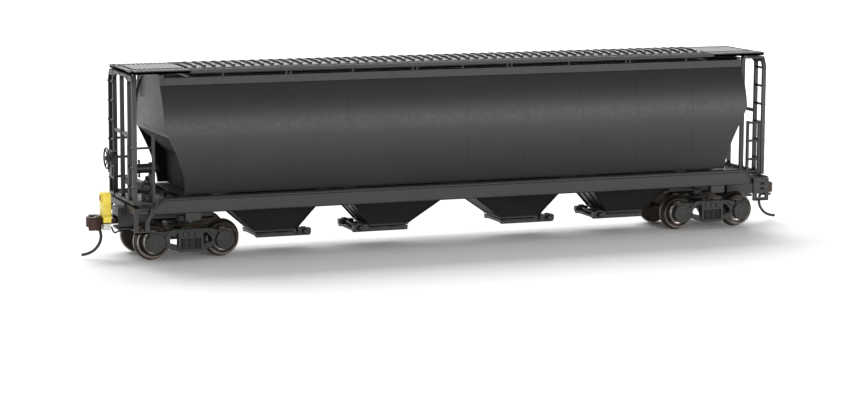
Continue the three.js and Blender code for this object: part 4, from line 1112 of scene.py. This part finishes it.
def wheel(row, end, hand):
    """A turned wheel: a tyre with flange and tread, and the dished plate with its hub in one."""
    shape = Shape()
    outward = 1 if hand == "a" else -1
    centre = (axle_x(row), 0, WHEEL_Z)
    back, front = 7.25, 10.04
    bore, rim_foot, dish_edge = 1.02, WHEEL_RADIUS - 0.66, 1.95
    flange = [(WHEEL_Z - 0.32, back), (WHEEL_Z - 0.1, back + 0.1), (WHEEL_Z, back + 0.32)]
    fillet = [(WHEEL_Z - 0.12, back + 0.52), (WHEEL_RADIUS + 0.2, back + 0.72)]
    tread = [(WHEEL_RADIUS + 0.04, back + 0.95), (WHEEL_RADIUS - 0.02, front - 0.26)]
    rim = [(WHEEL_RADIUS - 0.22, front), (rim_foot, front - 0.12)]
    tyre = [(rim_foot, back + 0.02), *flange, *fillet, *tread, *rim]
    shape.lathe(centre, "y", tyre, 72, outward)
    plate = [(bore, back + 0.15), (rim_foot + 0.03, back + 0.15), (rim_foot + 0.03, front - 0.2)]
    dish = [(3.98, 0.42), (3.7, 0.64), (3.35, 0.8), (2.9, 0.86), (2.5, 0.75), (2.15, 0.5), (dish_edge, 0.3)]
    hub = [(1.8, front - 0.2), (bore, front - 0.2)]
    shape.lathe(centre, "y", [*plate, *[(r, front - sunk) for r, sunk in dish], *hub], 72, outward)

    def polished(c):
        """The tip of the flange and the corner of the rim, worn bright, and the hollow of the dish, made
        brighter as a painted highlight.
        """
        radius, depth = math.hypot(c.x - centre[0], c.z - centre[2]), abs(c.y)
        on_flange = radius > WHEEL_Z - 0.24
        on_rim = depth > front - 0.24 and radius > WHEEL_RADIUS - 0.2
        return on_flange or on_rim or (dish_edge < radius < rim_foot and depth > front - 1.2)

    # the brighter metal marks wear on the flange and rim, and paints the highlight in the dish hollow
    shape.refinish(1, polished)
    return shape.stand_for(f"wheel_{row}_{end}_{hand}", ["tread_metal"], bevel=0, sharp=40)


def truck_screw(end):
    shape = Shape()
    profile = [(0, 5.2), (1.5, 5.2), (1.9, 5.5), (1.9, 6.15), (0.8, 6.3), (0.8, 14.2), (0, 14.2)]
    shape.lathe((0, 0, 0), "z", profile, 28)
    shape.box((-1.2, 1.2), (-0.2, 0.2), (5.12, 5.5))
    shape.shift(-TRUCK_X)
    return shape.stand_for(f"truck_screw_{end}", bevel=0)


def pickup_wiper():
    shape = Shape()
    width = (-4.6, -3.9)
    top = [(4.4, 9.25), (7.3, 8.85), (HALF_BASE, 7.1), (HALF_BASE + 1.4, 7.55)]
    under = [(x, z - 0.22) for x, z in reversed(top)]
    for s in (-1, 1):
        shape.prism("y", [(s * x, z) for x, z in [*top, *under]], width)
    shape.box((-4.6, 4.6), width, (8.97, 9.2))
    shape.shift(-TRUCK_X)
    return shape.stand_for("pickup_wiper", bevel=0.04)


# ---- couplers, drawn at the -X end
PIN_X = -107.05
KNUCKLE_PIVOT = (-108.6, 1.75)


def coupler_head(end):
    """The shank with its eye, the head behind the knuckle, the guard arm and the knuckle's two lugs."""
    shape = Shape()
    z0, z1 = COUPLER_Z - 0.7, COUPLER_Z + 0.7
    eye = [(1.75, z0), (2.4, z0), (2.5, z0 + 0.15), (2.5, z1 - 0.15), (2.4, z1), (1.75, z1)]
    shape.lathe((-COUPLER_PIVOT_X, 0, 0), "z", eye, 36)
    shank = rounded((-0.9, 0.9), (z0, z1), 0.25, 3)
    shape.skin([[(x, y, z) for y, z in shank] for x in (-106.6, -98.0)])
    back = [(-106.4, -1.5), (-106.4, 1.7), (-107.3, 2.3), (-107.3, 0.95)]
    shape.prism("z", [*back, (-107.55, 0.8), (-107.55, -1.6), (-107.2, -2.1)], (8.3, 12.5))
    outside = [(-107.2, -0.9), (-107.2, -2.15), (-108.6, -2.75), (-109.6, -2.9), (-110.35, -2.6)]
    inside = [(-110.4, -2.2), (-109.8, -1.7), (-108.8, -1.3), (-107.9, -0.9)]
    shape.prism("z", outside + inside, (8.5, 12.3))
    for z in ((8.3, 8.9), (12.2, 12.5)):
        lug = [(-107.0, 0.2), (-107.0, 2.5), *arc(KNUCKLE_PIVOT, 0.85, 100, 235, 6), (-107.6, 0.3)]
        shape.prism("z", lug, z)
    shape.lathe((PIN_X, 0, 0), "z", [(0.72, 8.3), (0.95, 8.1), (0.72, 8.1)], 16)
    return shape.stand_for(f"coupler_head_{end}", bevel=0.14)


def coupler_knuckle(end):
    shape = Shape()
    hinge = [(-107.65, 0.9), (-107.65, 2.3), *arc(KNUCKLE_PIVOT, 1.0, 70, 150, 5)]
    nose = [(-110.0, 1.8), (-110.35, 1.2), (-110.4, 0.2), (-110.3, -0.4), (-109.95, -0.7), (-109.55, -0.6)]
    shape.prism("z", [*hinge, *nose, (-109.3, -0.2), (-109.25, 0.5), (-108.8, 0.75)], (9.2, 12.1))
    pin_head = [(0, 12.0), (0.42, 12.0), (0.42, 12.35), (0.25, 12.45), (0, 12.45)]
    shape.lathe((*KNUCKLE_PIVOT, 0), "z", pin_head, 16)
    return shape.stand_for(f"coupler_knuckle_{end}", bevel=0.16)


def trip_pin(end):
    shape = Shape()
    straight = [(PIN_X, 0, 11.6), (-107.0, 0, 9.3), (-106.4, 0, 7.5), (-106.3, 0, 5.9)]
    hook = [(-106.9, 0, 4.1), (-108.3, 0, 2.5), (-110.2, 0, 1.6), (-112.0, 0, 1.3)]
    path = smooth_path(straight + hook, 8)
    pin_radius, tip_radius = 0.43, 0.34
    shape.tube(path, [pin_radius] * (len(path) - 1) + [tip_radius], 14)
    return shape.stand_for(f"trip_pin_{end}", finishes=["pin_steel"], bevel=0)


def coupler_lid(end):
    shape = Shape()
    hole = circle((-COUPLER_PIVOT_X, 0), 0.8, 16)
    edge = rounded((-BOX_X[1], -BOX_X[0]), (-BOX_Y, BOX_Y), 0.5)
    shape.pierced("z", edge, [hole], (8.4, 9.0))
    return shape.stand_for(f"coupler_lid_{end}", bevel=0.09)


def lid_screw(end):
    shape = Shape()
    profile = [(0, 7.4), (1.0, 7.4), (1.4, 7.7), (1.4, 8.1), (0.5, 8.15), (0.5, 12.2), (0, 12.2)]
    shape.lathe((-COUPLER_PIVOT_X, 0, 0), "z", profile, 24)
    return shape.stand_for(f"lid_screw_{end}", bevel=0)


# ---- end-of-train flasher
FLASHER_X = (-106.0, -103.7)
FLASHER_Y = 2.3
FLASHER_Z = (10.5, 19.0)
LENS_Z = 17.4


def flasher_housing():
    shape = Shape()
    slot, slot_top = 1.2, 11.7
    split, split_top = 0.16, 14.2
    low, high = FLASHER_Z
    case = [(slot, low), (FLASHER_Y, low), (FLASHER_Y, high - 0.3), (FLASHER_Y - 0.3, high)]
    edge = both_sides([(split, split_top), (split, slot_top), (slot, slot_top), *case])
    shape.pierced("x", edge, [circle((0, LENS_Z), 1.15, 32)], (FLASHER_X[0], FLASHER_X[0] + 0.8))
    shape.prism("x", edge, (FLASHER_X[0] + 0.7, FLASHER_X[1]))
    # bezel round the lamp, and two ribs across each edge of the case
    bezel = [(1.1, 0), (1.5, 0), (1.5, 0.25), (1.35, 0.4), (1.1, 0.4)]
    shape.lathe((FLASHER_X[0], 0, LENS_Z), "x", bezel, 32, -1)
    for side in (-1, 1):
        for z in ((12.2, 12.8), (15.0, 15.4)):
            shape.box((FLASHER_X[0] - 0.12, FLASHER_X[1] + 0.12), span(side, 1.7, FLASHER_Y), z)
    return shape.stand_for("flasher_housing", bevel=0.1)


def flasher_lens():
    shape = Shape()
    dome = [(0, -0.75), (0.35, -0.68), (0.68, -0.5), (0.9, -0.2), (0.9, 0.15), (0, 0.15)]
    shape.lathe((FLASHER_X[0] + 0.2, 0, LENS_Z), "x", dome, 32)
    return shape.stand_for("flasher_lens", bevel=0)


def flasher_clip():
    shape = Shape()
    base = [(1.2, 9.4), (1.2, 10.2), (2.2, 10.2), (2.2, 8.7), (1.8, 8.3)]
    shape.prism("x", both_sides([(0.5, 9.4), *base]), (-105.9, -103.9))
    return shape.stand_for("flasher_clip", bevel=0.12)


def flasher_lead():
    shape = Shape()
    drop = [(-103.6, -1.6, 9.2), (-103.3, -1.6, 8.5), (-102.9, -1.5, 7.7), (-102.3, -1.2, 7.4)]
    run = [(-101.6, -0.8, 7.6), (-100.8, -0.4, 7.7), (-99.6, 0, 7.7)]
    shape.tube(smooth_path(drop + run, 6), 0.25, 12)
    return shape.stand_for("flasher_lead", bevel=0)


def flasher_board():
    """A bare board with its components, inside the car."""
    shape = Shape()
    (x0, x1), (y0, y1), (z0, z1) = (extent("flasher_board", axis) for axis in range(3))
    shape.box((x0, x1), (y0, y1), (z0, z0 + 0.8))
    for i in range(4):
        x = x0 + 2 + i * 2.6
        shape.box((x, x + 1.4), (-2.2, 1.0), (z0 + 0.75, z1))
        shape.box((x, x + 0.7), (2.6, 3.9), (z0 + 0.75, z1 - 0.1))
    return shape.stand_for("flasher_board", bevel=0.05)


def ballast_weight():
    shape = Shape()
    (x0, x1), (y0, y1), (z0, z1) = (extent("ballast_weight", axis) for axis in range(3))
    shape.prism("z", rounded((x0, x1), (y0, y1), 1.5), (z0, z1))
    return shape.stand_for("ballast_weight", bevel=0.3)


# ---- assembly
BODY = (body_shell, roof_hatch, roof_walkway, underframe)
BRAKES = (brake_housing, brake_wheel, brake_cylinder, air_reservoir, control_valve, brake_pipes)
FLASHER = (pickup_wiper, flasher_housing, flasher_lens, flasher_clip, flasher_lead, flasher_board)
END_FITTINGS = (end_cage, side_ladder, open_step, plate_step, truck_frame, truck_screw)
COUPLER = (coupler_head, coupler_knuckle, trip_pin, coupler_lid, lid_screw)


def build_car():
    for make in (*BODY, *BRAKES, *FLASHER, ballast_weight):
        make()
    for end in ENDS:
        for make in (*END_FITTINGS, *COUPLER):
            make(end)
        for place in BAYS:
            hopper_bay(place, end)
            outlet_gate(place, end)
        for row in ("outer", "inner"):
            axle(row, end)
            for hand in ("a", "b"):
                wheel(row, end, hand)


build_car()


# ---- studio
def make_floor():
    half = 4.0
    bm = bmesh.new()
    corners = [(-half, -half), (half, -half), (half, half), (-half, half)]
    bm.faces.new([bm.verts.new((x, y, 0)) for x, y in corners])
    mesh = bpy.data.meshes.new("floor")
    bm.to_mesh(mesh)
    bm.free()
    n = Nodes("pale_paper")
    tone = n.noise(6, 3)
    n.link(n.ramp(tone, [(0.3, (0.86, 0.86, 0.86)), (0.7, (0.9, 0.9, 0.9))]), n.shader.inputs["Base Color"])
    n.link(n.between(tone, 0.85, 0.95), n.shader.inputs["Roughness"])
    n.set(Specular_IOR_Level=0.1)
    mesh.materials.append(n.material)
    floor = bpy.data.objects.new("floor", mesh)
    bpy.context.scene.collection.objects.link(floor)


def softbox(name, place, target, size, radiance):
    """A rectangular light of an even brightness, aimed at a point."""
    data = bpy.data.lights.new(name, "AREA")
    data.shape = "RECTANGLE"
    data.size, data.size_y = size
    data.energy = radiance * math.pi * size[0] * size[1]
    light = bpy.data.objects.new(name, data)
    light.location = place
    light.rotation_mode = "QUATERNION"
    light.rotation_quaternion = (Vector(target) - Vector(place)).to_track_quat("-Z", "Y")
    bpy.context.scene.collection.objects.link(light)


def make_sky():
    """A pale room: bright low down, darker overhead."""
    world = bpy.data.worlds.new("studio")
    world.use_nodes = True
    tree = world.node_tree
    place = tree.nodes.new("ShaderNodeTexCoord")
    split = tree.nodes.new("ShaderNodeSeparateXYZ")
    ramp = tree.nodes.new("ShaderNodeValToRGB")
    tree.links.new(place.outputs["Generated"], split.inputs["Vector"])
    tree.links.new(split.outputs["Z"], ramp.inputs["Fac"])
    low, high = ramp.color_ramp.elements
    low.position, low.color = 0.0, (1, 1, 1, 1)
    high.position, high.color = 0.6, (0.5, 0.5, 0.5, 1)
    shade = tree.nodes["Background"]
    tree.links.new(ramp.outputs["Color"], shade.inputs["Color"])
    shade.inputs["Strength"].default_value = 1.0
    bpy.context.scene.world = world


def make_studio():
    make_floor()
    make_sky()
    middle = (0, 0.0, 0.03)
    softbox("back_light", (0.1, 1.5, 1.5), middle, (2.4, 1.4), 6.5)
    softbox("front_strip", (0.5, -1.15, 0.22), middle, (1.8, 0.34), 5.5)
    bpy.context.scene.view_settings.view_transform = "Standard"


make_studio()
bpy.context.view_layer.update()
